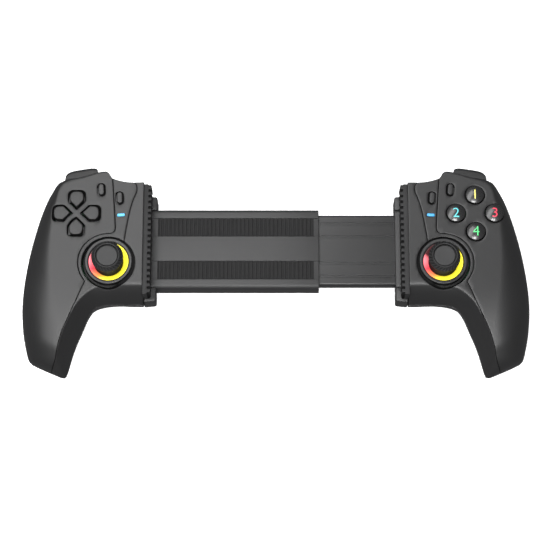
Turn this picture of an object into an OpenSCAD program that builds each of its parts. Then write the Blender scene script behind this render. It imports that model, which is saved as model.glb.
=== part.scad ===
// Telescopic game controller that clamps a phone between two grips.
// It lies on its back: +X to the right hand, +Y to the shoulder keys, +Z out of the front face.
// Each half is drawn once, in its own frame: u outward from the clamp teeth, v along Y from the
// middle of the phone bay, z up from the table. The left half is its mirror image.

/* [Phone bay] */
// Opening between the two rows of clamp teeth, as shown
bay = 143.6; // [120:0.1:160]
// Opening with the halves pushed together
bay_min = 100; // [90:1:110]
// Opening with the halves pulled apart
bay_max = 172; // [165:1:176]
// Top of the jaw above the bay's middle line
jaw_up = 37.1; // [35:0.1:39]
// Bottom of the jaw below the bay's middle line
jaw_down = 33.6; // [32:0.1:35]

/* [Handles] */
// Height of the flat front face above the table
face_z = 36; // [34:0.5:39]
// Furthest reach of a handle outward from the clamp teeth
reach = 74; // [71:0.1:77]
// Distance from the bay's middle line down to the grip's end
grip_len = 75.7; // [72:0.1:80]
// Width across the grip's end
grip_end_w = 20.6; // [18:0.2:22]
// How far the face falls towards the grip's end
grip_fall = 13; // [9:0.5:16]
// Height of the parting line at the top of a handle
part_z = 25.2; // [24.6:0.1:26]
// Height of the parting line at the grip's end
part_end = 11; // [9:0.5:13]
// Depth of the finger valley across the back
valley = 5; // [2:0.5:7]
// Thickness of the shells
wall = 2; // [1.6:0.1:2.4]
// Open line between neighbouring shells
seam = 0.35; // [0.2:0.05:0.5]

/* [Clamp pads] */
// Thickness of the rubber pad behind its teeth
pad_base = 3.1; // [2:0.1:4]
// Depth of a tooth
tooth = 1.4; // [1:0.1:1.8]
// Distance from one tooth to the next
tooth_pitch = 3.45; // [3:0.05:4.5]
// Width of a tooth along the jaw
tooth_w = 1.75; // [1.3:0.05:2]
// Top of the pad below the front face
pad_drop = 1.2; // [0.6:0.1:3]

/* [Thumbsticks] */
// Stick's place outward from the clamp teeth
stick_u = 24; // [23.4:0.1:24.4]
// Stick's place below the bay's middle line
stick_down = 11; // [10.4:0.1:11.4]
// Radius of the round opening in the shell
well_r = 15.2; // [15:0.1:15.6]
// Outer radius of the raised bezel
bezel_r = 13.7; // [13:0.1:13.9]
// Outer radius of the light ring
glow_r = 11.2; // [11:0.1:11.6]
// Radius of the cap
cap_r = 9.05; // [8.5:0.05:9.4]
// Radius of the cap's dished middle
dish_r = 6.2; // [5.5:0.1:6.8]
// Thickness of the cap at its rim
cap_t = 5.1; // [4:0.1:5.4]
// Height of the stick's pivot
pivot_z = 28; // [27.8:0.1:28.4]
// Height of the cap's top above the pivot
cap_rise = 18.3; // [17.8:0.1:18.8]
// Radius of the skirt's dome
dome_r = 8.8; // [8.6:0.05:8.9]
// Shaft diameter
shaft_d = 2.4; // [2:0.1:2.8]
// Diameter of the yoke's axle pins
axle_d = 2; // [1.6:0.1:2.2]
// Radial play of the axle pins and of the shaft
axle_play = 0.08; // [0.05:0.01:0.12]
// Travel of the cap when it is clicked
click = 0.5; // [0.3:0.1:0.6]

/* [Keys] */
// Middle of the direction keys and of the face buttons, outward from the teeth
cluster_u = 43; // [42.5:0.1:44]
// Middle of both clusters above the bay's middle line
cluster_v = 17.5; // [17:0.1:17.9]
// Width of a direction key's opening
cross_w = 10.3; // [9.6:0.1:10.8]
// Distance from the cross's middle to a key's inner tip
cross_in = 1.9; // [1.6:0.1:2.4]
// Distance from the cross's middle to a key's outer edge
cross_out = 14.2; // [13.4:0.1:14.4]
// Distance of a face button from the cluster's middle
face_step = 11.1; // [10.9:0.1:11.6]
// Radius of a face button
face_r = 5.3; // [5:0.05:5.4]
// Length of an oval key's opening
oval_l = 8.2; // [7.4:0.1:8.6]
// Width of an oval key's opening
oval_w = 4.8; // [4.6:0.1:5.4]
// Length of the slim lit key
lit_l = 4.7; // [4:0.1:5.4]
// Width of the slim lit key
lit_w = 1.9; // [1.6:0.1:2.4]
// Gap between a direction or oval key and its opening
key_gap = 0.7; // [0.4:0.01:0.8]
// Gap between a face button and its opening
button_gap = 0.5; // [0.3:0.01:0.6]
// How far the keys stand above the face
key_rise = 1.1; // [0.7:0.1:1.6]
// Rim under the shell that keeps a key in
key_rim = 0.9; // [0.6:0.1:1]
// Travel of a large key
key_travel = 1.3; // [0.8:0.1:1.5]
// Travel of a small key
small_travel = 0.7; // [0.4:0.1:0.9]

/* [Shoulders] */
// Middle of the trigger, outward from the clamp teeth
trigger_u = 40; // [39.6:0.1:40.4]
// Width of the trigger
trigger_w = 15; // [14:0.1:15.4]
// Trigger pivot above the bay's middle line
trigger_v = 35; // [34.9:0.1:35.2]
// Height of the trigger's pivot
trigger_z = 20; // [19.8:0.1:20.4]
// Trigger pin diameter
pin_d = 2.4; // [2:0.1:2.6]
// Radial play of the hinge pins
pin_play = 0.1; // [0.06:0.01:0.14]
// Height of the bumper
bumper_h = 8; // [7:0.1:8.1]
// How far the bumper stands out beyond the shell
bumper_out = 4.3; // [3.6:0.1:4.6]

/* [Bridge] */
// Width of the sleeve across the phone
sleeve_w = 48; // [44:0.5:52]
// Thickness of the sleeve
sleeve_t = 12; // [11:0.1:12.4]
// Wall of the sleeve
sleeve_wall = 2.3; // [2:0.1:2.5]
// Running gap between sleeve and slider
slide_gap = 0.3; // [0.25:0.05:0.4]
// Height of the phone rest above the table
rest_z = 24; // [23.6:0.1:24.4]
// Coil radius of a return spring
coil_r = 1.7; // [1.4:0.1:1.9]
// Wire radius of a return spring
wire_r = 0.3; // [0.2:0.05:0.4]

/* [Inside] */
// Top of the circuit boards
board_z = 21.6; // [21.4:0.1:21.8]
// Thickness of the circuit boards
board_t = 1.6; // [1:0.1:1.8]
// Thickness of the key mat
mat_t = 2; // [1.6:0.1:2.2]
// Screw shank diameter
screw_d = 2; // [1.8:0.1:2.3]
// Screw head diameter
head_d = 4.2; // [3.8:0.1:4.4]
// Battery thickness
cell_t = 7; // [5:0.2:7.4]
// Battery length along the grip
cell_l = 34; // [28:1:35]
// Battery width
cell_w = 13; // [11:0.5:14]

/* [Hidden] */

// Colours
SHELL = "#4c4c4e";
INNER = "#404042";
TRIM = "#454547";
RUBBER = "#2a2a2b";
GLOSS = "#1c1c1e";
STEEL = "#b9bcc0";
GLOW = "#ff9a3c";
LIT = "#4cb8ff";
BOARD = "#1f5a3a";

// Curves: smoothness of round solids and of the shells' cut-outs
ROUND = 64;
CUT = 28;
BIG = 200;

// Jaw wall behind the pad, and the back of the jaw
jaw_u = pad_base + tooth;
jaw_back = rest_z - sleeve_t;
crease_v = jaw_down - 8.6;
stick_v = -stick_down;

// Small helpers
function mix(a, b, t) = a + (b - a) * t;
function clamp01(t) = min(1, max(0, t));
function ease(t) = let (c = clamp01(t)) c * c * (3 - 2 * c);
function quarter(t) = let (c = 1 - clamp01(t)) sqrt(1 - c * c);
function spline(p, t) =
  let (last = len(p) - 1, i = min(last - 1, floor(t)), f = t - i,
    a = p[max(0, i - 1)], b = p[i], c = p[i + 1], d = p[min(last, i + 2)])
  0.5 * (2 * b + (c - a) * f + (2 * a - 5 * b + 4 * c - d) * f * f + (3 * b - a - 3 * c + d) * f * f * f);

// A height down the grip: 0 at the jaw's bottom, 1 at the grip's end
function down(f) = -jaw_down - f * (grip_len - jaw_down);

// Section lines of a handle, from the jaw to the grip's end.
// Each runs from the inner or bottom edge over the crease on the face to the outer or top edge.
grip_in = reach - 25.2;
end_in = [grip_in, down(0.985)];
end_out = [grip_in + grip_end_w + 0.4, down(0.765)];
SECTIONS = [
  [[jaw_u, -jaw_down], [jaw_u, -crease_v], [jaw_u, jaw_up]],
  [[10, -jaw_down], [10, -crease_v], [14, jaw_up + 0.1]],
  [[16, -jaw_down], [18, -crease_v], [22.4, jaw_up + 2.4]],
  [[21, -jaw_down - 0.1], [25, -crease_v], [27, jaw_up + 7.1]],
  [[25.5, down(0.008)], [30.4, -crease_v - 1.6], [40, jaw_up + 4]],
  [[29.5, down(0.026)], [34.4, -crease_v - 3.9], [52.6, jaw_up + 2.4]],
  [[32.6, down(0.064)], [37.6, -crease_v - 6.6], [58.4, jaw_up - 4.4]],
  [[34.7, down(0.124)], [40.4, -crease_v - 9.6], [reach - 10.2, jaw_up - 16.8]],
  [[36.8, down(0.211)], [43.3, down(0.128)], [reach - 4.8, 0]],
  [[39.6, down(0.358)], [46.4, down(0.275)], [reach - 1.5, -20]],
  [[grip_in - 5.7, down(0.54)], [grip_in + 1, down(0.46)], [reach, down(0.06)]],
  [[grip_in - 3.2, down(0.715)], [grip_in + 3.3, down(0.645)], [reach - 0.6, down(0.39)]],
  [[grip_in - 1.5, down(0.865)], [grip_in + 4.9, down(0.795)], [reach - 2.6, down(0.65)]],
  [end_in, mix(end_in, end_out, 0.36), end_out]];
// Width over which the face rolls down to the outer edge, and the back to it
ROLL = [0.8, 0.8, 0.9, 1.4, 1.6, 3, 9, 17, 23, 26, 26, 22, 17, 12];
BACK_ROLL = [3, 3, 4, 6, 8, 10, 14, 18, 20, 20, 19, 17, 14, 10];
LAST = len(SECTIONS) - 1;
function inner_at(s) = spline([for (q = SECTIONS) q[0]], s);
function crease_at(s) = spline([for (q = SECTIONS) q[1]], s);
function outer_at(s) = spline([for (q = SECTIONS) q[2]], s);

// Heights of the face, the parting line and the back
fall_from = 20;
touch_v = 52;
hump_v = 12;
end_rise = 6;
function face_h(v) = face_z - grip_fall * pow(max(0, -fall_from - v) / (grip_len - fall_from), 2);
function part_h(v) = mix(part_z, part_end, ease((-v - fall_from + 4) / (grip_len - fall_from)));
function back_low(v) =
  v > hump_v ? 7 * ease((v - hump_v) / 40) :
  v > -touch_v ? valley * pow(sin(180 * (v + touch_v) / (hump_v + touch_v)), 2) :
  end_rise * pow((-touch_v - v) / (grip_len - touch_v), 2);
function back_h(u, v) = mix(back_low(v), jaw_back, ease((33 - u) / 17));
// The handle closes to a rounded tip over its last sections
function tip(s) = let (x = clamp01((s - LAST + 2.2) / 2.2)) sqrt(1 - 0.9 * x * x);

// One section ring, drawn in by t all round
FACE_STEPS = 7;
FLANK_STEPS = 3;
BACK_STEPS = 7;
function toward(p, q, d) = p + (q - p) * (d / max(0.01, norm(q - p)));
function keep_out(p, t) = [max(p.x, jaw_u + t), p.y];
function ring(s, t) =
  let (a0 = inner_at(s), c0 = crease_at(s), b0 = outer_at(s), e = tip(s),
    a = keep_out(toward(a0, c0, 1.15 * t), t), c = keep_out(toward(c0, b0, 0.75 * t), t),
    b = keep_out(toward(b0, c0, t), t),
    roll = max(0.5, spline(ROLL, s) - t), back_roll = max(1, spline(BACK_ROLL, s) - t),
    za = part_h(a0.y), zb = part_h(b0.y))
  concat(
    [for (i = [0:FACE_STEPS]) let (
        f = i == 1 ? min(roll / norm(c - b), 0.025) : 1 - cos(90 * i / FACE_STEPS), d = f * norm(c - b),
        p = mix(b, c, f),
        base = mix(zb, part_h(c0.y), f))
      [p.x, p.y, base + (face_h(p.y) - t - base) * e * quarter(d / roll)]],
    [for (i = [1:FLANK_STEPS]) let (
        f = i / FLANK_STEPS, p = mix(c, a, f),
        top = part_h(c0.y) + (face_h(c.y) - t - part_h(c0.y)) * e)
      [p.x, p.y, mix(top, za, f) + 1.3 * e * sin(180 * f)]],
    [for (i = [1:BACK_STEPS - 1]) let (
        f = 0.5 - 0.5 * cos(180 * i / BACK_STEPS), p = mix(a, b, f), w = norm(b - a),
        base = mix(za, zb, f), low = back_h(p.x, p.y) + t)
      [p.x, p.y, base - (base - low) * e * quarter(f * w / back_roll) * quarter((1 - f) * w / back_roll)]]);

// Skin through the section rings, closed at both ends
SECTION_STEP = 0.5;
module skin(t, to) {
  n = floor(to / SECTION_STEP + 0.5);
  rings = [for (k = [0:n]) ring(to * k / n, t)];
  m = len(rings[0]);
  middle = [for (k = [0, n])
    [for (j = [0:2]) (max([for (p = rings[k]) p[j]]) + min([for (p = rings[k]) p[j]])) / 2]];
  points = concat([for (r = rings) each r], middle);
  sides = [for (k = [0:n - 1], i = [0:m - 1]) let (j = (i + 1) % m, p = k * m, q = p + m)
    each [[p + i, q + i, p + j], [p + j, q + i, q + j]]];
  caps = [for (i = [0:m - 1]) let (j = (i + 1) % m) each
    [[(n + 1) * m, i, j], [(n + 1) * m + 1, n * m + j, n * m + i]]];
  polyhedron(points, concat(sides, caps));
}
module solid_handle() { skin(0, LAST); }
module handle_space() { skin(wall, LAST - 0.7); }

// The grip's lowest point and the trigger's lip give the middle of the part along Y
low_v = min([for (k = [0:20]) inner_at(LAST - k * 0.1).y]);
lip_v = jaw_up + 5.7 + bumper_out;
mid_v = (low_v + lip_v) / 2;

// Placing the two halves
module right_half() { translate([bay / 2, -mid_v, 0]) children(); }
module left_half() { mirror([1, 0, 0]) right_half() children(); }

// Plan of the front: the main seam and the panel seam
seam_r = well_r + 1.9;
seam_in = 0.3;
function seam_at(s) = toward(crease_at(s), outer_at(s), seam_in);
seam_c = [stick_u + 0.6, stick_v - 1.25];
SEAM_TOP = [23.1, jaw_up + 30];
SEAM_MID = [21.1, cluster_v];
SEAM_TURN = [20.5, stick_v + well_r + 3.9];
SEAM_BEND = [[37.9, -crease_v + 0.4], [38.6, -crease_v - 1], [40.2, -crease_v - 4.6],
  [41.9, -crease_v - 9]];
function seam_line() = concat(
  [SEAM_TOP, [22.8, jaw_up + 1], SEAM_MID, SEAM_TURN,
    [21.1, SEAM_TURN.y - 1.6], [22.6, SEAM_TURN.y - 2.5]],
  [for (i = [0:14]) let (g = mix(82, -42, i / 14)) seam_c + seam_r * [cos(g), sin(g)]],
  SEAM_BEND, [for (i = [0:9]) seam_at(mix(8.6, LAST - 0.78, i / 9))],
  [mix(seam_at(LAST - 0.98), seam_at(LAST - 0.78), 30)]);
module outer_plan() { polygon(concat(seam_line(), [[BIG, -BIG], [BIG, BIG], [SEAM_TOP.x, BIG]])); }
PANEL_FOOT = [15.4, stick_v + 12.2];
PANEL_BEND = [8.6, cluster_v + 13.4];
module panel_plan() {
  difference() {
    polygon([[SEAM_TOP.x + 3, SEAM_TOP.y], [SEAM_TURN.x + 3, SEAM_TURN.y - 4], PANEL_FOOT, PANEL_BEND,
      PANEL_BEND + [0.3, 1.8], PANEL_BEND + [1.4, 3.4], PANEL_BEND + [3, 4.6],
      [PANEL_BEND.x + 3, SEAM_TOP.y]]);
    offset(delta = seam) outer_plan();
    translate([stick_u, stick_v]) circle(well_r, $fn = CUT * 2);
  }
}

// Above and below the parting line
module above_parting(gap) {
  edge = [for (v = [60:-6:-90]) [v, part_h(v) + gap]];
  translate([-20, 0, 0]) rotate([90, 0, 90]) linear_extrude(BIG)
    polygon(concat(edge, [[-90, BIG], [60, BIG]]));
}

// Openings of the keys in plan
OVAL_TILT = -4;
MINUS = [29, jaw_up - 5.3];
TURBO = [18.3, cluster_v + 9.3];
LIT_AT = [17.3, cluster_v - 1];
module oval(l, w) {
  hull() {
    for (i = [-1, 1]) translate([0, i * (l - w) / 2]) circle(d = w, $fn = CUT);
  }
}
module bar(l, w) {
  r = 0.5;
  hull() for (i = [-1, 1], j = [-1, 1]) translate([i * (l / 2 - r), j * (w / 2 - r)]) circle(r, $fn = 16);
}
// A direction key in plan, pointing along +v, with its V tip towards the middle
module shield(grow) {
  h = cross_w / 2 + grow;
  r = 2.4;
  hull() {
    translate([0, cross_in - grow * sqrt(2)]) polygon([[0, 0], [h, h], [-h, h]]);
    for (i = [-1, 1]) translate([i * (h - r), cross_out + grow - r]) circle(r, $fn = CUT);
  }
}
// A round opening with a small lead-in at the face
module round_opening() {
  translate([0, 0, part_z]) cylinder(r = face_r + button_gap, h = BIG / 4, $fn = CUT);
  hull() {
    translate([0, 0, face_z - 0.5]) cylinder(r = face_r + button_gap, h = 0.1, $fn = CUT);
    translate([0, 0, face_z + 0.2]) cylinder(r = face_r + button_gap + 0.5, h = 0.1, $fn = CUT);
  }
}
module at_cluster(turn) { translate([cluster_u, cluster_v]) rotate(turn) children(); }
module at_oval(at) { translate(at) rotate(OVAL_TILT) children(); }

// Screws: the first three hold the outer shell, the last two the inner shell
OUTER_SCREWS = [[25.2, cluster_v + 1], [48, stick_v + 4.4], [grip_in + 7, down(0.62)]];
INNER_SCREWS = [[9.5, 10], [10, -crease_v + 0.6]];
SCREWS = concat(OUTER_SCREWS, INNER_SCREWS);
boss_r = screw_d / 2 + 1.3;
// A screw in the grip passes below the board, so its posts meet at the parting line
function in_grip(p) = p.y < down(0);
function post_top(p) = in_grip(p) ? part_h(p.y) - seam / 2 : board_z - board_t;
function boss_foot(p) = in_grip(p) ? part_h(p.y) + seam / 2 : board_z;
head_depth = 4.2;
// Room of a screw in its boss
screw_play = 0.1;
function head_z(p) = back_h(p.x, p.y) + head_depth;
function screw_tip(p) = face_h(p.y) - (in_grip(p) ? 6.5 : 5);
// A tapered post, and the same with four ribs
POST = 12;
module post(r, h) {
  hull() {
    cylinder(r = r, h = 0.1, $fn = POST);
    translate([0, 0, h - 0.1]) cylinder(r = r + 0.6, h = 0.1, $fn = POST);
  }
}
module ribbed_post(r, h, rib) {
  post(r, h);
  for (g = [45:90:315]) rotate(g) hull() {
    translate([0, -0.5, 1]) cube([r, 1, h - 1]);
    translate([0, -0.5, h - 1]) cube([r + rib, 1, 1]);
  }
}
// Bosses under the face, kept inside the shell
module bosses(list, rib) {
  difference() {
    intersection() {
      skin(wall / 2, LAST - 0.7);
      for (p = list) translate([p.x, p.y, boss_foot(p)]) {
        if (rib > 0) ribbed_post(boss_r, face_z - boss_foot(p), rib);
        else post(boss_r, face_z - boss_foot(p));
      }
    }
    for (p = list) translate([p.x, p.y, 0])
      cylinder(d = screw_d + screw_play, h = screw_tip(p) + 0.5, $fn = POST);
  }
}
// The front of a handle as one hollow skin, before it is split into pieces
module front_skin() {
  intersection() {
    difference() {
      solid_handle();
      handle_space();
    }
    above_parting(seam / 2);
  }
}

// Shoulder openings
bumper_z = part_z + 0.4;
BUMPER_IN = [31.6, 0];
slot_top = bumper_z + bumper_h + 0.3;
pocket_w = trigger_w + 5.2;
pocket_v = trigger_v - 3.6;
module bumper_slot() {
  translate([BUMPER_IN.x - 0.4, jaw_up - 2.1, part_z - 1]) cube([21.6, 20, slot_top - part_z + 1]);
}
module trigger_pocket() {
  hull() {
    translate([trigger_u - pocket_w / 2, pocket_v, part_z - 1]) cube([pocket_w, 40, 1]);
    translate([trigger_u - pocket_w / 2 - 0.4, pocket_v, -1]) cube([pocket_w + 0.8, 40, 1]);
  }
}

// Shells
module outer_shell(keys) {
  color(SHELL) difference() {
    union() {
      intersection() {
        front_skin();
        linear_extrude(BIG) outer_plan();
      }
      bosses(OUTER_SCREWS, 0);
    }
    bumper_slot();
    translate([0, 0, part_z]) linear_extrude(BIG) {
      at_oval(MINUS) oval(oval_l, oval_w);
      if (keys == "cross") for (g = [0:90:270]) at_cluster(g) shield(0);
    }
    if (keys == "round") for (g = [0:90:270]) at_cluster(g) translate([0, face_step, 0]) round_opening();
  }
}
module inner_shell() {
  color(INNER) union() {
    difference() {
      front_skin();
      linear_extrude(BIG) offset(delta = seam) outer_plan();
      linear_extrude(BIG) offset(delta = seam) panel_plan();
      translate([stick_u, stick_v, 0]) cylinder(r = well_r, h = BIG, $fn = CUT * 2);
    }
    bosses(INNER_SCREWS, 1.5);
  }
}
// The panel clips in with six tapered hooks
HOOKS = [TURBO + [-5.5, -2.3], TURBO + [1.2, 6.8], LIT_AT + [-3.7, 3.8], LIT_AT + [2, 3.4],
  LIT_AT + [-2.1, -4.9], LIT_AT + [1.3, -4.1]];
module function_panel() {
  color(TRIM) union() {
    difference() {
      intersection() {
        front_skin();
        linear_extrude(BIG) panel_plan();
      }
      translate([0, 0, part_z]) linear_extrude(BIG) {
        at_oval(TURBO) oval(oval_l, oval_w);
        translate(LIT_AT) rotate(OVAL_TILT) bar(lit_l, lit_w);
      }
    }
    for (p = HOOKS) translate([p.x, p.y, face_z - wall - 2.4]) hull() {
      translate([-0.7, -0.9, 0]) cube([1.4, 1.8, 0.4]);
      translate([-1, -1.2, 2.2]) cube([2, 2.4, 0.8]);
    }
  }
}
module rear_shell(port) {
  color(INNER) difference() {
    union() {
      difference() {
        solid_handle();
        handle_space();
      }
      intersection() {
        skin(wall / 2, LAST - 0.7);
        union() {
          for (p = SCREWS) translate([p.x, p.y, post_top(p)]) mirror([0, 0, 1]) post(boss_r + 0.8, BIG / 4);
          if (!port) cell_cradle();
        }
      }
    }
    above_parting(-seam / 2);
    for (p = SCREWS) translate([p.x, p.y, 0]) {
      cylinder(d = screw_d + 0.3, h = BIG, $fn = POST);
      translate([0, 0, head_z(p) - BIG]) cylinder(d = head_d + 0.5, h = BIG, $fn = 2 * POST);
    }
    trigger_pocket();
    bridge_notch();
    if (port) port_slot();
  }
}
// Notch in the jaw wall for the end of the bridge
bridge_in = 7;
module bridge_notch() {
  translate([-1, -sleeve_w / 2 - 0.15, jaw_back]) cube([bridge_in + 1, sleeve_w + 0.3, BIG]);
}

// Clamp pad: a strip with a row of square teeth facing the bay
pad_foot = rest_z + 0.5;
pad_h = face_z - pad_drop - pad_foot;
pad_up = jaw_up - 1.4;
pad_down = jaw_down - 3;
teeth = floor((pad_up + pad_down - tooth_w) / tooth_pitch);
module clamp_pad() {
  spare = (pad_up + pad_down - tooth_w - teeth * tooth_pitch) / 2;
  color(RUBBER) translate([0, 0, pad_foot]) union() {
    translate([tooth, -pad_down, 0]) cube([pad_base, pad_up + pad_down, pad_h]);
    for (i = [0:teeth]) translate([0, spare - pad_down + i * tooth_pitch, 0])
      cube([tooth + 0.5, tooth_w, pad_h]);
  }
}

// Thumbstick, about its own middle
module at_stick() { translate([stick_u, stick_v, 0]) children(); }
bezel_top = face_z - 0.8;
moat_z = face_z - 4.6;
ring_gap = 0.15;
module stick_bezel() {
  glow = glow_r + ring_gap;
  color(TRIM) at_stick() rotate_extrude($fn = ROUND) polygon([
    [glow, board_z], [bezel_r - 0.2, board_z], [bezel_r - 0.2, moat_z - 1.2], [well_r - 0.3, moat_z - 1.2],
    [well_r - 0.3, moat_z], [bezel_r, moat_z], [bezel_r, bezel_top - 0.5], [bezel_r - 0.5, bezel_top],
    [glow + 0.5, bezel_top - 0.1], [glow, bezel_top - 0.6]]);
}
lip_up = 3.8;
lip_z = pivot_z + lip_up;
lip_r = sqrt(dome_r * dome_r - lip_up * lip_up) + 0.45;
module light_ring() {
  color(GLOW) at_stick() rotate_extrude($fn = ROUND) polygon([
    [glow_r - 1.1, board_z], [glow_r, board_z], [glow_r, bezel_top - 0.7], [glow_r - 0.5, bezel_top - 0.8],
    [lip_r, lip_z + 0.9], [lip_r, lip_z], [glow_r - 1.1, lip_z - 0.4]]);
}
cap_top = pivot_z + cap_rise;
cap_low = cap_top - cap_t;
neck_r = 3.6;
skirt_t = 1.2;
module stick_cap() {
  color(RUBBER) at_stick() union() {
    rotate_extrude($fn = ROUND) difference() {
      polygon([[0, cap_low], [cap_r - 0.9, cap_low], [cap_r, cap_low + 1.2], [cap_r - 0.2, cap_top - 1.9],
        [cap_r - 1.1, cap_top - 0.5], [dish_r + 0.7, cap_top], [dish_r, cap_top - 0.2],
        [dish_r - 0.3, cap_top - 0.9], [0, cap_top - 1.2]]);
      square([shaft_d / 2, cap_low + 2.4]);
    }
    translate([0, 0, pivot_z + dome_r - 1]) difference() {
      cylinder(r = neck_r, h = cap_low - pivot_z - dome_r + 1.5, $fn = ROUND);
      translate([0, 0, -1]) cylinder(d = shaft_d, h = BIG / 4, $fn = ROUND);
    }
    translate([0, 0, pivot_z]) rotate_extrude($fn = ROUND) difference() {
      circle(dome_r, $fn = ROUND);
      circle(dome_r - skirt_t, $fn = ROUND);
      translate([-BIG, -BIG]) square([BIG + shaft_d / 2, 2 * BIG]);
      translate([-BIG, -BIG + 0.1]) square([2 * BIG, BIG]);
    }
  }
}
module stick_shaft() {
  color(STEEL) at_stick() translate([0, 0, pivot_z - 3])
    cylinder(d = shaft_d, h = cap_low + 2.4 - pivot_z + 3, $fn = ROUND);
}
// Rocker: turns about Y in the yoke and guides the shaft
rocker_u = 2.2;
rocker_v = 2.3;
rocker_h = 2.3;
yoke_u = 4.5;
yoke_v = 4.3;
yoke_h = 1.6;
rocker_pin_d = 1.5;
module stick_rocker() {
  color(GLOSS) at_stick() translate([0, 0, pivot_z]) difference() {
    union() {
      translate([-rocker_u, -rocker_v, -rocker_h]) cube([2 * rocker_u, 2 * rocker_v, 2 * rocker_h]);
      translate([0, yoke_v - 0.1, 0]) rotate([90, 0, 0])
        cylinder(d = rocker_pin_d, h = 2 * yoke_v - 0.2, $fn = ROUND);
    }
    translate([0, 0, -BIG / 2]) cylinder(d = shaft_d + 2 * axle_play, h = BIG, $fn = ROUND);
  }
}
// Yoke: a square frame that turns about X on two axle pins
frame_u = yoke_u + 0.4;
frame_t = 1.6;
module stick_yoke() {
  color(GLOSS) at_stick() translate([0, 0, pivot_z]) difference() {
    union() {
      translate([-yoke_u, -yoke_v, -yoke_h]) cube([2 * yoke_u, 2 * yoke_v, 2 * yoke_h]);
      translate([-frame_u - frame_t, 0, 0]) rotate([0, 90, 0])
        cylinder(d = axle_d, h = 2 * (frame_u + frame_t), $fn = ROUND);
    }
    translate([-rocker_u - 1.1, -rocker_v - 0.3, -BIG / 2])
      cube([2 * rocker_u + 2.2, 2 * rocker_v + 0.6, BIG]);
    translate([0, BIG / 2, 0]) rotate([90, 0, 0])
      cylinder(d = rocker_pin_d + 2 * axle_play, h = BIG, $fn = ROUND);
  }
}
module stick_frame() {
  cheek_v = axle_d / 2 + 1.1;
  color(STEEL) at_stick() difference() {
    union() {
      translate([-frame_u - frame_t, -4.6, board_z]) cube([2 * (frame_u + frame_t), 9.2, 1.1]);
      for (i = [-1, 1]) translate([i * (frame_u + frame_t / 2) - frame_t / 2, -cheek_v, board_z])
        cube([frame_t, 2 * cheek_v, pivot_z + axle_d / 2 + 0.6 - board_z]);
    }
    translate([-BIG / 2, 0, pivot_z]) rotate([0, 90, 0])
      cylinder(d = axle_d + 2 * axle_play, h = BIG, $fn = ROUND);
  }
}

// Keys: a head through the shell, a rim under it and a stem down to the mat
rim_top = face_z - wall - 0.3;
rim_t = 1.3;
mat_top = board_z + mat_t;
stem_foot = mat_top + key_travel + 0.3;
// The four-way keys and buttons have lugs, set lower than the small keys' rims
lug_foot = rim_top - rim_t - 1.1;
lug_w = 4.4;
lit_gap = 0.2;
// The mat's domes, from the middle of the four keys
dome_step = cross_in + cross_w / 2 + 1.3;
post_h = 3.2;
small_foot = board_z + post_h + small_travel + 0.3;
module direction_key(turn) {
  top = face_z + key_rise;
  lug = cross_w / 2 + key_rim;
  color(INNER) at_cluster(turn) union() {
    translate([0, 0, lug_foot]) linear_extrude(top - 0.6 - lug_foot) shield(-key_gap);
    hull() {
      translate([0, 0, top - 0.7]) linear_extrude(0.1) shield(-key_gap);
      translate([0, 0, top - 0.1]) linear_extrude(0.1) shield(-key_gap - 0.7);
    }
    translate([-lug, cross_in + cross_w / 2 + 0.6, lug_foot]) cube([2 * lug, lug_w, rim_t]);
    translate([0, dome_step, stem_foot]) cylinder(d = 4.4, h = lug_foot - stem_foot + 0.1, $fn = ROUND);
  }
}
module face_button(turn) {
  top = face_z + key_rise + 0.7;
  dome = 13;
  lug = face_r + button_gap + key_rim;
  to_dome = dome_step - face_step;
  color(GLOSS) at_cluster(turn) translate([0, face_step, 0]) union() {
    rotate_extrude($fn = ROUND) intersection() {
      translate([0, lug_foot]) square([face_r, top - lug_foot]);
      translate([0, top - dome]) circle(dome, $fn = 2 * ROUND);
    }
    translate([-lug, -lug_w / 2, lug_foot]) cube([2 * lug, lug_w, rim_t]);
    translate([0, to_dome, stem_foot]) cylinder(d = 4.4, h = lug_foot - stem_foot + 0.1, $fn = ROUND);
  }
}
module oval_key(at) {
  color(GLOSS) at_oval(at) union() {
    translate([0, 0, rim_top - rim_t]) linear_extrude(face_z + key_rise - rim_top + rim_t)
      oval(oval_l - 2 * key_gap, oval_w - 2 * key_gap);
    translate([0, 0, rim_top - rim_t]) linear_extrude(rim_t) oval(oval_l + key_rim, oval_w + key_rim);
    translate([0, 0, small_foot]) cylinder(d = 2.6, h = rim_top - rim_t - small_foot + 0.1, $fn = ROUND);
  }
}
module lit_key() {
  color(LIT) translate(LIT_AT) rotate(OVAL_TILT) union() {
    translate([0, 0, rim_top - rim_t]) linear_extrude(face_z + 0.3 - rim_top + rim_t)
      bar(lit_l - 2 * lit_gap, lit_w - 2 * lit_gap);
    translate([0, 0, rim_top - rim_t]) linear_extrude(rim_t) bar(lit_l + key_rim, lit_w + key_rim);
    translate([0, 0, small_foot]) cylinder(d = 1.6, h = rim_top - rim_t - small_foot + 0.1, $fn = ROUND);
  }
}

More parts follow.
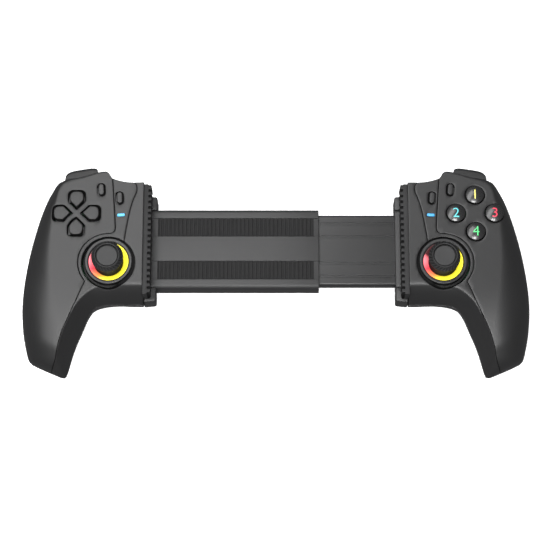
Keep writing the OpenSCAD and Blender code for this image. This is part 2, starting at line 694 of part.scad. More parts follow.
// Circuit board: fills the upper handle, cut round the posts and the shoulder frame, with key switches
module circuit_board() {
  room = wall + 1.6;
  from = [for (s = [0:0.5:7]) toward(inner_at(s), crease_at(s), 2.2 * room)];
  till = [for (s = [7:-0.5:0]) toward(outer_at(s), crease_at(s), room + (s > 3.2 ? 2.5 : 0))];
  shift = bridge_in + 0.4;
  color(BOARD) translate([0, 0, board_z - board_t]) union() {
    difference() {
      linear_extrude(board_t) intersection() {
        polygon(concat(from, till));
        translate([shift, -BIG / 2]) square([BIG, BIG]);
      }
      translate([trigger_u - pocket_w / 2 + 0.3, pocket_v - 1.9, -1]) cube([BIG, BIG, BIG]);
      for (p = SCREWS) translate([p.x, p.y, -1]) cylinder(d = screw_d + 0.3, h = BIG, $fn = ROUND);
    }
    for (p = [MINUS, TURBO, LIT_AT]) translate([p.x, p.y, board_t - 0.1])
      cylinder(d = 2.6, h = post_h + 0.1, $fn = ROUND);
  }
}
module key_mat() {
  color("#6d6d70") translate([cluster_u, cluster_v, board_z]) union() {
    cylinder(r = 3.4, h = mat_t / 2, $fn = ROUND);
    for (g = [0:90:270]) rotate(g) {
      translate([-2, 0, 0]) cube([4, dome_step, mat_t / 2]);
      translate([0, dome_step, 0]) cylinder(d = 6, h = mat_t / 2, $fn = ROUND);
      translate([0, dome_step, 0]) cylinder(d = 4.2, h = mat_t, $fn = ROUND);
    }
  }
}
module shell_screws() {
  color(STEEL) for (p = SCREWS) translate([p.x, p.y, 0]) {
    difference() {
      translate([0, 0, head_z(p) - 1.8]) cylinder(d = head_d, h = 1.8, $fn = ROUND);
      for (g = [0, 90]) translate([0, 0, head_z(p) - 1.8]) rotate(g) cube([2.4, 0.6, 1.6], center = true);
    }
    translate([0, 0, head_z(p)]) cylinder(d = screw_d - 0.2, h = screw_tip(p) - head_z(p), $fn = ROUND);
  }
}

// Bumper: a curved bar along the shoulder, on a vertical pin at its inner end
BUMPER_PIN = [27, jaw_up - 0.5];
function bumper_edge(f) = [mix(BUMPER_IN.x, 51.8, f), mix(jaw_up + 6.4, jaw_up + 1.8, f)];
module bumper_plan(inset) {
  n = 12;
  arc = [for (i = [0:n]) let (f = i / n) bumper_edge(f) +
    [0, 0.4 + (bumper_out - 0.4) * pow(sin(180 * mix(0.2, 0.86, f)), 0.8) - inset]];
  polygon(concat([for (i = [n:-1:0]) bumper_edge(i / n) + [0, -1.6]], arc));
}
module bumper() {
  color(INNER) difference() {
    union() {
      hull() {
        translate([0, 0, bumper_z]) linear_extrude(0.1) bumper_plan(1.2);
        translate([0, 0, bumper_z + 1.6]) linear_extrude(bumper_h - 3) bumper_plan(0);
        translate([0, 0, bumper_z + bumper_h - 0.1]) linear_extrude(0.1) bumper_plan(1);
      }
      translate([0, 0, bumper_z + 1]) linear_extrude(4)
        polygon([BUMPER_PIN + [0, -2.2], BUMPER_PIN + [0, 2.2],
        bumper_edge(0) + [1.8, -3.2], bumper_edge(0.4) + [0, -0.2], bumper_edge(0.4) + [0, -2.6]]);
      translate([BUMPER_PIN.x, BUMPER_PIN.y, bumper_z + 1]) cylinder(r = 2.2, h = 4, $fn = ROUND);
    }
    translate([BUMPER_PIN.x, BUMPER_PIN.y, 0]) cylinder(d = pin_d + 2 * pin_play, h = BIG, $fn = ROUND);
  }
}

// Trigger: a curved lever on a pin across the handle
trigger_top = part_z - 1.8;
module trigger() {
  lip = lip_v - trigger_v;
  color(INNER) translate([trigger_u - trigger_w / 2, trigger_v, trigger_z]) difference() {
    union() {
      rotate([0, 90, 0]) cylinder(r = 3, h = trigger_w, $fn = ROUND);
      rotate([90, 0, 90]) linear_extrude(trigger_w) polygon([[0.5, 1.8], [3, trigger_top - trigger_z],
        [lip - 3.6, trigger_top - trigger_z], [lip - 1.6, 1], [lip - 1.4, -4], [lip - 0.7, -9], [lip, -13],
        [lip - 0.6, -14.6], [lip - 2.6, -14.6], [5.4, -10.6], [3.4, -6], [0.5, -1.8]]);
    }
    rotate([0, 90, 0]) translate([0, 0, -1]) cylinder(d = pin_d + 2 * pin_play, h = BIG, $fn = ROUND);
    translate([trigger_w / 2 - spring_w / 2 - 0.4, -4, -4]) cube([spring_w + 0.8, 8, 8]);
  }
}
// Shoulder frame: two cheeks and a back wall round the trigger, and a shelf under the bumper
cheek_t = 1.6;
cheek_gap = 0.45;
module shoulder_frame() {
  half = trigger_w / 2 + cheek_gap;
  back_v = pocket_v - 0.3;
  shelf_z = part_z - 1.2;
  floor_z = back_h(trigger_u, back_v) + wall + 3.4;
  color(TRIM) difference() {
    union() {
      for (i = [-1, 1]) translate([trigger_u + i * (half + cheek_t / 2) - cheek_t / 2, back_v - 1.2,
        trigger_z - 6])
        cube([cheek_t, trigger_v + pin_d / 2 + 1.2 - back_v + 1.2, shelf_z - trigger_z + 6.2]);
      translate([trigger_u - half - cheek_t, back_v - 1.2, floor_z])
        cube([2 * (half + cheek_t), 1.2, shelf_z - floor_z + 0.2]);
      translate([trigger_u - half - cheek_t, back_v - 1.2, shelf_z])
        cube([2 * (half + cheek_t), trigger_v + 2.4 - back_v + 1.2, 1.2]);
      translate([BUMPER_PIN.x - 2, BUMPER_PIN.y - 1.6, shelf_z])
        cube([trigger_u - half - BUMPER_PIN.x + 2.4, 3.2, 1.2]);
      translate([BUMPER_PIN.x, BUMPER_PIN.y, shelf_z - 2]) cylinder(r = 2.4, h = 3.2, $fn = ROUND);
    }
    translate([0, trigger_v, trigger_z]) rotate([0, 90, 0]) cylinder(d = pin_d, h = BIG, $fn = ROUND);
    translate([BUMPER_PIN.x, BUMPER_PIN.y, 0]) cylinder(d = pin_d, h = BIG, $fn = ROUND);
  }
}
module hinge_pins() {
  half = trigger_w / 2 + cheek_gap + cheek_t;
  color(STEEL) union() {
    translate([trigger_u - half, trigger_v, trigger_z]) rotate([0, 90, 0])
      cylinder(d = pin_d, h = 2 * half, $fn = ROUND);
    translate([BUMPER_PIN.x, BUMPER_PIN.y, part_z - 3.2])
      cylinder(d = pin_d, h = bumper_z + 5.6 - part_z + 3.2, $fn = ROUND);
  }
}

// Tube swept along a path, for the springs
function along(path, i) = let (d = path[min(len(path) - 1, i + 1)] - path[max(0, i - 1)]) d / norm(d);
module wire(path, r, n) {
  m = len(path);
  rings = [for (i = [0:m - 1]) let (t = along(path, i), a = cross(t, [0.31, 0.17, 0.93]), x = a / norm(a),
    y = cross(t, x))
    each [for (k = [0:n - 1]) path[i] + r * (x * cos(360 * k / n) + y * sin(360 * k / n))]];
  sides = [for (i = [0:m - 2], k = [0:n - 1]) let (j = (k + 1) % n, p = i * n, q = p + n)
    each [[p + k, q + k, p + j], [p + j, q + k, q + j]]];
  ends = [for (k = [1:n - 2]) each [[0, k, k + 1], [(m - 1) * n, (m - 1) * n + k + 1, (m - 1) * n + k]]];
  polyhedron(rings, concat(sides, ends));
}
// Trigger spring: four turns round the pin, one leg on the back wall and one on the trigger
spring_w = 4;
spring_wire = 0.3;
module trigger_spring() {
  r = pin_d / 2 + pin_play + spring_wire + 0.35;
  turns = 3.5;
  n = 28;
  coil = [for (i = [0:n]) let (g = 180 + 360 * turns * i / n)
    [mix(-spring_w / 2 + 0.6, spring_w / 2 - 0.6, i / n), r * cos(g), r * sin(g)]];
  path = concat([[-spring_w / 2 + 0.6, -r, 4]], coil, [[spring_w / 2 - 0.6, r, 3.4]]);
  color(STEEL) translate([trigger_u, trigger_v, trigger_z]) wire(path, spring_wire, 5);
}

// Battery along the left grip, and its cradle in the rear shell
cell_at = mix(crease_at(8.3), outer_at(8.3), 0.33);
cell_turn = -10;
cell_z = board_z - board_t - cell_t - 1.1;
module battery() {
  color("#9a9fa6") translate([cell_at.x, cell_at.y, cell_z]) rotate(cell_turn)
    translate([-cell_w / 2, -cell_l / 2, 0]) cube([cell_w, cell_l, cell_t]);
}
module cell_cradle() {
  for (i = [-1, 1]) translate([cell_at.x, cell_at.y, 0]) rotate(cell_turn) hull() {
    translate([-cell_w / 2, i * cell_l * 0.3 - 0.8, cell_z - 0.2]) cube([cell_w, 1.6, 0.2]);
    translate([-cell_w / 2, i * cell_l * 0.3 - 1.2, 0]) cube([cell_w, 2.4, 0.2]);
  }
}

// Charging port on the right half's top edge: a rounded metal mouth with a tongue
PORT_W = 8.9;
PORT_H = 3.2;
PORT_L = 7.3;
port_u = 12;
port_shell = 0.35;
module port_outline(grow) {
  hull() for (i = [-1, 1]) translate([i * (PORT_W - PORT_H) / 2, 0]) circle(d = PORT_H + 2 * grow,
    $fn = CUT);
}
port_front = jaw_up - 0.3;
module at_port() { translate([port_u, port_front, board_z + PORT_H / 2]) rotate([90, 0, 0]) children(); }
module charging_port() {
  color(STEEL) at_port() union() {
    difference() {
      linear_extrude(PORT_L) port_outline(0);
      translate([0, 0, -1]) linear_extrude(PORT_L - 0.5 + 1) port_outline(-port_shell);
    }
    translate([-PORT_W / 2 + 1.6, -0.35, 1]) cube([PORT_W - 3.2, 0.7, PORT_L - 1.2]);
  }
}
module port_slot() {
  at_port() translate([0, 0, -5]) linear_extrude(PORT_L + 6) port_outline(0.3);
}

// Bridge behind the phone, in the part's own frame
closing = bay - bay_min;
ledge = 2.8;
sleeve_from = -bay / 2 - bridge_in;
sleeve_to = -bay / 2 + bay_min - ledge - 0.5;
slider_from = -bay / 2 - 2 + closing;
slider_w = sleeve_w - 2 * (sleeve_wall + slide_gap);
slider_t = sleeve_t - 2 * (sleeve_wall + slide_gap);
slider_z = jaw_back + sleeve_wall + slide_gap;
spring_v = slider_w / 2 - 5.5;
channel_w = 2 * (coil_r + wire_r) + 1;
anchor_to = slider_from + 74;
module at_bay() { translate([0, -mid_v, 0]) children(); }
// Wide foot of the bridge along a jaw, tapering into the beam; drawn for the right jaw
module jaw_foot() {
  wide = jaw_down - 1.3;
  translate([0, 0, jaw_back]) linear_extrude(sleeve_t) polygon([
    [bay / 2 + jaw_u - 0.15, -wide], [bay / 2 - ledge, -wide + 0.8],
    [bay / 2 - ledge, wide], [bay / 2 + jaw_u - 0.15, wide]]);
}
module bridge_sleeve() {
  color(INNER) at_bay() difference() {
    union() {
      translate([sleeve_from, -sleeve_w / 2, jaw_back]) cube([sleeve_to - sleeve_from, sleeve_w, sleeve_t]);
      mirror([1, 0, 0]) jaw_foot();
    }
    translate([sleeve_from + sleeve_wall, -slider_w / 2 - slide_gap, slider_z - slide_gap])
      cube([BIG, slider_w + 2 * slide_gap, slider_t + 2 * slide_gap]);
  }
}
module bridge_slider() {
  end = bay / 2 + bridge_in;
  color(TRIM) at_bay() difference() {
    union() {
      translate([slider_from, -slider_w / 2, slider_z]) cube([end - slider_from, slider_w, slider_t]);
      translate([bay / 2 - ledge, -sleeve_w / 2, jaw_back])
        cube([end - bay / 2 + ledge, sleeve_w, sleeve_t]);
      jaw_foot();
    }
    translate([slider_from - 1, 0, slider_z + slider_t / 2]) {
      for (i = [-1, 1]) translate([0, i * spring_v - channel_w / 2, -channel_w / 2])
        cube([anchor_to - slider_from + 1, channel_w, channel_w]);
      translate([0, -ribbon_w / 2 - 0.5, -ribbon_room / 2]) cube([BIG, ribbon_w + 1, ribbon_room]);
    }
  }
}
// Two extension springs pull the halves together
spring_turns = 24;
module return_springs() {
  n = spring_turns * 6;
  from = sleeve_from + sleeve_wall + 0.3;
  to = anchor_to - 0.3;
  color(STEEL) at_bay() for (i = [-1, 1]) {
    path = [for (k = [0:n]) let (g = 60 * k)
      [mix(from + wire_r, to - wire_r, k / n), i * spring_v + coil_r * cos(g),
        slider_z + slider_t / 2 + coil_r * sin(g)]];
    wire(path, wire_r, 5);
  }
}
// Flat cable between the two boards, through a slot along the slider
ribbon_w = 12;
ribbon_t = 0.4;
ribbon_room = 1.2;
module ribbon_cable() {
  from = sleeve_from + sleeve_wall + 0.3;
  color("#c8b48a") at_bay() translate([from, -ribbon_w / 2, slider_z + slider_t / 2 - ribbon_t / 2])
    cube([bay / 2 + bridge_in - from, ribbon_w, ribbon_t]);
}

left_half() outer_shell("cross");  // left_outer_shell
left_half() inner_shell();  // left_inner_shell
left_half() function_panel();  // left_function_panel
left_half() rear_shell(false);  // left_rear_shell
left_half() clamp_pad();  // left_clamp_pad
left_half() stick_bezel();  // left_stick_bezel
left_half() light_ring();  // left_light_ring
left_half() stick_cap();  // left_stick_cap
left_half() stick_shaft();  // left_stick_shaft
left_half() stick_rocker();  // left_stick_rocker
left_half() stick_yoke();  // left_stick_yoke
left_half() stick_frame();  // left_stick_frame
left_half() bumper();  // left_bumper
left_half() trigger();  // left_trigger
left_half() shoulder_frame();  // left_shoulder_frame
left_half() hinge_pins();  // left_hinge_pins
left_half() trigger_spring();  // left_trigger_spring
left_half() circuit_board();  // left_circuit_board
left_half() key_mat();  // left_key_mat
left_half() shell_screws();  // left_shell_screws
right_half() outer_shell("round");  // right_outer_shell
right_half() inner_shell();  // right_inner_shell
right_half() function_panel();  // right_function_panel
right_half() rear_shell(true);  // right_rear_shell
right_half() clamp_pad();  // right_clamp_pad
right_half() stick_bezel();  // right_stick_bezel
right_half() light_ring();  // right_light_ring
right_half() stick_cap();  // right_stick_cap
right_half() stick_shaft();  // right_stick_shaft
right_half() stick_rocker();  // right_stick_rocker
right_half() stick_yoke();  // right_stick_yoke
right_half() stick_frame();  // right_stick_frame
right_half() bumper();  // right_bumper
right_half() trigger();  // right_trigger
right_half() shoulder_frame();  // right_shoulder_frame
right_half() hinge_pins();  // right_hinge_pins
right_half() trigger_spring();  // right_trigger_spring
right_half() circuit_board();  // right_circuit_board
right_half() key_mat();  // right_key_mat
right_half() shell_screws();  // right_shell_screws
left_half() direction_key(0);  // direction_key_up
left_half() direction_key(180);  // direction_key_down
left_half() direction_key(-90);  // direction_key_left
left_half() direction_key(90);  // direction_key_right
left_half() oval_key(MINUS);  // minus_key
left_half() oval_key(TURBO);  // turbo_key
left_half() lit_key();  // left_lit_key
left_half() battery();
right_half() face_button(0);  // face_button_1
right_half() face_button(90);  // face_button_2
right_half() face_button(-90);  // face_button_3
right_half() face_button(180);  // face_button_4
right_half() oval_key(MINUS);  // plus_key
right_half() oval_key(TURBO);  // macro_key
right_half() lit_key();  // right_lit_key
right_half() charging_port();
bridge_sleeve();
bridge_slider();
return_springs();
ribbon_cable();
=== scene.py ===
"""Looks of a stretch-type phone game controller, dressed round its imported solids."""
import math

import bmesh
import bpy
import numpy as np
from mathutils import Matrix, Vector
from mathutils.geometry import delaunay_2d_cdt


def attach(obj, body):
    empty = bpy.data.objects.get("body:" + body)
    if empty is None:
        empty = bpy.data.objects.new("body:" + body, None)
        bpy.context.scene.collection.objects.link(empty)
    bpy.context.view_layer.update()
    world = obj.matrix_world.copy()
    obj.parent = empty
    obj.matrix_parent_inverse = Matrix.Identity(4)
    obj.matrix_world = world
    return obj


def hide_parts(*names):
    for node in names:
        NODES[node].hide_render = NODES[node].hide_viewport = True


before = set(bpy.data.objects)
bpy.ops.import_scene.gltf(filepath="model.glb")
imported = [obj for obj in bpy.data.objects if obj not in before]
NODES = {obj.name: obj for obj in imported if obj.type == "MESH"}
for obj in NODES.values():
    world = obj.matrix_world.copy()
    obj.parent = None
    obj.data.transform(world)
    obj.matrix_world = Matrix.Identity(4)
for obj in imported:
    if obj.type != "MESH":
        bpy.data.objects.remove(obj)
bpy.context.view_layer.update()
SIDES = {"left": -1, "right": 1}

# Sizes in millimetres, close to the solids'. A handle has its own frame: u runs outward from the clamp
# teeth, v along Y from the middle of the bay, z up.
MM = 0.001
BAY, MID_V = 143.6, -13.9842
JAW_U, JAW_UP, JAW_DOWN, JAW_BACK = 4.5, 37.1, 33.6, 12.0
FACE_Z, PART_Z, PART_END, WALL, SEAM = 36.0, 25.2, 11.0, 2.0, 0.35
REACH, GRIP_LEN, GRIP_END_W, GRIP_FALL = 73.92, 75.7, 20.6, 13.0
FALL_FROM, TOUCH_V, HUMP_V, END_RISE, VALLEY = 20.0, 52.0, 12.0, 6.0, 5.0
# Lead of the parting line's fall, rise of the back towards the top, its fade into the jaw
PART_LEAD, TOP_RISE, TOP_RUN, FADE_U, FADE_RUN = 4, 7, 40, 33, 17
CREASE_V, GRIP_IN = JAW_DOWN - 8.6, REACH - 25.12
STICK = np.array([24.0, -11.0])
WELL_R, BEZEL_R, GLOW_R, CAP_R = 15.45, 13.6, 11.3, 9.05
WELL = STICK + [0, -1.1]
BEZEL_TOP, LIP_R, LIP_Z = 35.2, 8.39, 31.8
PIVOT_Z, CAP_TOP, CAP_LOW, DOME_R = 28.0, 46.3, 41.2, 8.8
CLUSTER = np.array([43.0, 17.5])
CROSS_W, CROSS_IN, CROSS_OUT = 10.3, 1.9, 14.2
FACE_STEP, FACE_R, KEY_GAP, BUTTON_GAP, KEY_RISE = 11.1, 5.3, 1.2, 0.5, 1.1
OVAL_L, OVAL_W, OVAL_GAP, LIT_L, LIT_W = 8.2, 4.8, 0.75, 4.7, 1.9
OVAL_TILT = math.radians(-4)
MINUS = np.array([29.0, JAW_UP - 5.3])
TURBO = CLUSTER * [0, 1] + [18.3, 9.3]
LIT_AT = CLUSTER * [0, 1] + [17.3, -1.0]
BUMPER_U, BUMPER_Z, BUMPER_H = 31.6, 25.6, 8.0
TRIGGER_U, TRIGGER_W, TRIGGER_V, TRIGGER_Z = 40.0, 15.0, 35.0, 20.0
POCKET_W, POCKET_V = 20.2, 31.4
PORT_U, PORT_Z, PORT_R, PORT_HALF = 12.0, 23.2, 1.9, 2.85
SCREW_R = 2.35
SCREWS = [(25.2, 18.5), (48.0, -6.6), (55.8, -59.7), (9.5, 10.0), (10.0, -24.4)]


# Shapes of a handle
def mix(a, b, t):
    return a + (b - a) * t


def clamp01(t):
    return np.clip(t, 0.0, 1.0)


def ease(t):
    t = clamp01(t)
    return t * t * (3 - 2 * t)


def quarter(t):
    c = 1 - clamp01(t)
    return np.sqrt(np.maximum(0.0, 1 - c * c))


def down(f):
    return -JAW_DOWN - f * (GRIP_LEN - JAW_DOWN)


END_IN = np.array([GRIP_IN, down(0.985)])
END_OUT = np.array([GRIP_IN + GRIP_END_W + 0.4, down(0.765)])
# Sections from the jaw to the grip's end: inner or bottom edge, crease on the face, outer or top edge
SECTIONS = np.array([
    [[JAW_U, -JAW_DOWN], [JAW_U, -CREASE_V], [JAW_U, JAW_UP]],
    [[10, -JAW_DOWN], [10, -CREASE_V], [14, JAW_UP + 0.1]],
    [[16, -JAW_DOWN], [18, -CREASE_V], [22.4, JAW_UP + 2.4]],
    [[21, -JAW_DOWN - 0.1], [25, -CREASE_V], [27, JAW_UP + 7.1]],
    [[25.5, down(0.008)], [30.4, -CREASE_V - 1.6], [40, JAW_UP + 4]],
    [[29.5, down(0.026)], [34.4, -CREASE_V - 3.9], [52.6, JAW_UP + 2.4]],
    [[32.6, down(0.064)], [37.6, -CREASE_V - 6.6], [58.4, JAW_UP - 4.4]],
    [[34.7, down(0.124)], [40.4, -CREASE_V - 9.6], [REACH - 10.2, JAW_UP - 16.8]],
    [[36.8, down(0.211)], [43.3, down(0.128)], [REACH - 4.8, 0]],
    [[39.6, down(0.358)], [46.4, down(0.275)], [REACH - 1.5, -20]],
    [[GRIP_IN - 5.7, down(0.54)], [GRIP_IN + 1, down(0.46)], [REACH, down(0.06)]],
    [[GRIP_IN - 3.2, down(0.715)], [GRIP_IN + 3.3, down(0.645)], [REACH - 0.6, down(0.39)]],
    [[GRIP_IN - 1.5, down(0.865)], [GRIP_IN + 4.9, down(0.795)], [REACH - 2.6, down(0.65)]],
    [END_IN, mix(END_IN, END_OUT, 0.36), END_OUT]])
ROLL = np.array([0.8, 0.8, 0.9, 1.4, 1.8, 5, 11, 17, 23, 26, 26, 22, 17, 12])
BACK_ROLL = np.array([3, 3, 4, 6, 8, 10, 14, 18, 20, 20, 19, 17, 14, 10])
# Rounding of the crease on its face side and on its flank side
ROUND_FACE = np.array([3.6, 3.6, 3.6, 3.4, 2.8, 2.0, 1.6, 1.4, 1.3, 1.2, 1.2, 1.2, 1.2, 1.2])
ROUND_FLANK = 0.5 * ROUND_FACE
LAST = len(SECTIONS) - 1
TIP_LEN, TIP_END, FLANK_BULGE = 2.2, 0.985, 1.3
# Rounding of the grip end's corners in plan, inner and outer, over the last of the sections
CORNER_LEN, CORNER_IN, CORNER_OUT, CORNER_END = 0.65, 2.2, 3.2, 0.98
# Share of the wall that the inner skin's edge and crease move in, and where its sections begin and end
EDGE_DRAW, CREASE_DRAW, INNER_FROM, INNER_CUT = 1.15, 0.75, 0.42, 1.1


def spline(table, s):
    last = len(table) - 1
    i = np.clip(np.floor(s).astype(int), 0, last - 1)
    f = s - i
    if table.ndim > 1:
        f = f[..., None]
    a, b, c, d = (table[np.clip(i + k, 0, last)] for k in (-1, 0, 1, 2))
    return 0.5 * (2 * b + (c - a) * f + (2 * a - 5 * b + 4 * c - d) * f**2 + (3 * b - a - 3 * c + d) * f**3)


def face_h(v):
    return FACE_Z - GRIP_FALL * (np.maximum(0, -FALL_FROM - v) / (GRIP_LEN - FALL_FROM)) ** 2


def part_h(v):
    return mix(PART_Z, PART_END, ease((-v - FALL_FROM + PART_LEAD) / (GRIP_LEN - FALL_FROM)))


def back_low(v):
    upper = TOP_RISE * ease((v - HUMP_V) / TOP_RUN)
    middle = VALLEY * np.sin(np.pi * (v + TOUCH_V) / (HUMP_V + TOUCH_V)) ** 2
    lower = END_RISE * ((-TOUCH_V - v) / (GRIP_LEN - TOUCH_V)) ** 2
    return np.where(v > HUMP_V, upper, np.where(v > -TOUCH_V, middle, lower))


def back_h(u, v):
    return mix(back_low(v), JAW_BACK, ease((FADE_U - u) / FADE_RUN))


def tip(s):
    x = clamp01((s - LAST + TIP_LEN) / TIP_LEN)
    return np.sqrt(1 - TIP_END * x * x)


def span(p, q):
    return np.linalg.norm(q - p, axis=-1)


def toward(p, q, d):
    return p + (q - p) * (d / np.maximum(0.01, span(p, q)))[..., None]


def section(s, t):
    """Edge, crease and edge of the section at s, drawn in by t, and their parting heights."""
    a0, c0, b0 = (spline(SECTIONS[:, k], s) for k in range(3))
    x = clamp01((s - LAST + CORNER_LEN) / CORNER_LEN)
    cut = 1 - np.sqrt(1 - CORNER_END * x * x)
    a0, b0 = toward(a0, c0, CORNER_IN * cut), toward(b0, c0, CORNER_OUT * cut)
    drawn = [toward(a0, c0, EDGE_DRAW * t), toward(c0, b0, CREASE_DRAW * t), toward(b0, c0, t)]
    if t > 0:
        for p in drawn:
            p[..., 0] = np.maximum(p[..., 0], JAW_U + t)
    return drawn, [part_h(p[..., 1]) for p in (a0, c0, b0)]


def lift(p, z):
    return np.concatenate([p, z[..., None]], -1)


def front(s, g, t=0.0):
    """Front skin: g 0 to 1 is the face from the outer edge to the crease, 1 to 2 the flank below it."""
    s, g = np.broadcast_arrays(np.asarray(s, float), np.asarray(g, float))
    (a, c, b), (za, zc, zb) = section(s, t)
    e = tip(s)
    width = span(b, c)
    roll = np.maximum(0.5, spline(ROLL, s) - t)
    top = zc + (face_h(c[..., 1]) - t - zc) * e

    def face(w):
        f = 1 - np.cos(0.5 * np.pi * w)
        p = b + (c - b) * f[..., None]
        base = mix(zb, zc, f)
        return lift(p, base + (face_h(p[..., 1]) - t - base) * e * quarter(f * width / roll))

    def flank(k):
        p = c + (a - c) * k[..., None]
        return lift(p, mix(top, za, k) + FLANK_BULGE * e * np.sin(np.pi * k))

    low = 1 - spline(ROUND_FACE, s) / (0.5 * np.pi * width)
    high = 1 + spline(ROUND_FLANK, s) / np.hypot(span(a, c), top - za)
    w = clamp01((g - low) / (high - low))[..., None]
    bend = (1 - w) ** 2 * face(low) + 2 * w * (1 - w) * lift(c, top) + w * w * flank(high - 1)
    flat = np.where((g < low)[..., None], face(np.clip(g, 0, low)), bend)
    return np.where((g > high)[..., None], flank(clamp01(g - 1)), flat)


def back(s, h, t=0.0):
    """Back skin, from the inner or bottom edge at h 0 to the outer or top edge at h 1."""
    s, h = np.broadcast_arrays(np.asarray(s, float), np.asarray(h, float))
    (a, _, b), (za, _, zb) = section(s, t)
    f = 0.5 - 0.5 * np.cos(np.pi * clamp01(h))
    p = a + (b - a) * f[..., None]
    width = span(a, b)
    base = mix(za, zb, f)
    roll = np.maximum(1, spline(BACK_ROLL, s) - t)
    depth = (base - back_h(p[..., 0], p[..., 1]) - t) * tip(s)
    return lift(p, base - depth * quarter(f * width / roll) * quarter((1 - f) * width / roll))


SKIN_TOP = {front: 2.0, back: 1.0}


def inside(skin, q):
    """The same place on the skin's inner side."""
    return skin(INNER_FROM + q[:, 0] * (LAST - INNER_CUT) / LAST, q[:, 1], WALL)


def unit(v):
    return v / np.linalg.norm(v, axis=-1)[..., None]


def slopes(skin, q, eps=2e-4):
    """Directions along and across a skin, and out of it."""
    s, g = q[:, 0], q[:, 1]
    s0, s1 = np.clip(s - eps, 0, LAST), np.clip(s + eps, 0, LAST)
    g0, g1 = np.clip(g - eps, 0, SKIN_TOP[skin]), np.clip(g + eps, 0, SKIN_TOP[skin])
    along = (skin(s1, g) - skin(s0, g)) / (s1 - s0)[:, None]
    across = (skin(s, g1) - skin(s, g0)) / (g1 - g0)[:, None]
    return along, across, unit(np.cross(across, along))


# Places on a skin, and stretches of a loop with their gap and the spacing of their points
PART_GAP, FINE, COARSE = 0.5 * SEAM, 0.55, 1.3
S_TABLE = np.linspace(0, LAST, 1301)


def at_plan(skin, points):
    """Skin places below or above plan points (u, v)."""
    points = np.asarray(points, float)
    a, c, b = section(S_TABLE, 0.0)[0]
    lines = [(b, c, 0), (c, a, 1)] if skin is front else [(a, b, 0)]
    found = np.full((len(points), 2), np.nan)
    for p, q, k in lines:
        d = q - p
        rel = points[:, None] - p[None]
        cross = rel[..., 0] * d[:, 1] - rel[..., 1] * d[:, 0]
        f = (rel * d).sum(-1) / (d * d).sum(-1)
        hit = (cross[:, :-1] * cross[:, 1:] <= 0) & (f[:, :-1] > -0.03) & (f[:, :-1] < 1.03)
        for i in np.nonzero(hit.any(1) & np.isnan(found[:, 0]))[0]:
            j = int(np.argmax(hit[i]))
            w = clamp01(f[i, j])
            if skin is front:
                g = 2 / np.pi * np.arccos(1 - w) if k == 0 else 1 + w
            else:
                g = np.arccos(1 - 2 * w) / np.pi
            found[i] = S_TABLE[j], g
    return refine(skin, found, points, [0, 1])


def refine(skin, q, target, axes, rounds=12):
    """Newton steps towards target values of two coordinates."""
    q = q.copy()
    for _ in range(rounds):
        miss = target - skin(q[:, 0], q[:, 1])[:, axes]
        along, across, _ = slopes(skin, q)
        m = np.stack([along[:, axes], across[:, axes]], -1)
        det = m[:, 0, 0] * m[:, 1, 1] - m[:, 0, 1] * m[:, 1, 0]
        det = np.where(np.abs(det) < 1e-6, 1e-6, det)
        ds = (m[:, 1, 1] * miss[:, 0] - m[:, 0, 1] * miss[:, 1]) / det
        dg = (m[:, 0, 0] * miss[:, 1] - m[:, 1, 0] * miss[:, 0]) / det
        q[:, 0] = np.clip(q[:, 0] + np.clip(ds, -0.25, 0.25), 0, LAST)
        q[:, 1] = np.clip(q[:, 1] + np.clip(dg, -0.04, 0.04), 0.0, SKIN_TOP[skin])
    return q


def edge_s(u):
    """Section whose outer edge is at u, near the shoulder."""
    s = S_TABLE[S_TABLE < 6.5]
    return float(np.interp(u, spline(SECTIONS[:, 2], s)[:, 0], s))


def at_edge(skin, points):
    """Skin places on the top wall from their (u, z)."""
    points = np.asarray(points, float)
    start = 0.03 if skin is front else 0.97
    guess = np.array([[edge_s(p[0]), start] for p in points])
    return refine(skin, guess, points, [0, 2], 40)


def run(skin, q, step, gap=0.0, kind=0):
    """A stretch of a loop through places q, spaced along the skin, without its last point."""
    q = np.asarray(q, float)
    steps = np.linspace(0, 1, 60)[:-1, None]
    fine = np.concatenate([mix(one, two, steps) for one, two in zip(q, q[1:])] + [q[-1:]])
    p = skin(fine[:, 0], fine[:, 1])
    way = np.concatenate([[0], np.cumsum(np.linalg.norm(np.diff(p, axis=0), axis=1))])
    n = max(1, int(round(way[-1] / step)))
    at = np.linspace(0, way[-1], n + 1)[:-1]
    picked = np.stack([np.interp(at, way, fine[:, k]) for k in range(2)], -1)
    return picked, np.full(n, gap), np.full(n, kind)


def parting(skin, *q):
    """A stretch along the parting line, half a seam away from it."""
    return run(skin, q, COARSE, PART_GAP)


def ending(skin, *q):
    """A stretch along an end of the skin, closed down to the parting line."""
    return run(skin, q, COARSE, 0.0, 1)


def loop(*runs, roll=0.28):
    q, gap, kind = (np.concatenate([r[k] for r in runs]) for k in range(3))
    return q, gap, kind, roll


def area(q):
    return 0.5 * np.sum(q[:, 0] * np.roll(q[:, 1], -1) - np.roll(q[:, 0], -1) * q[:, 1])


def hole(skin, outline, step=0.5, kind=0, roll=0.28):
    """A loop round an opening, from its plan outline."""
    q = at_plan(skin, outline)
    if area(q) > 0:
        q = q[::-1]
    return loop(run(skin, np.concatenate([q, q[:1]]), step, 0.0, kind), roll=roll)


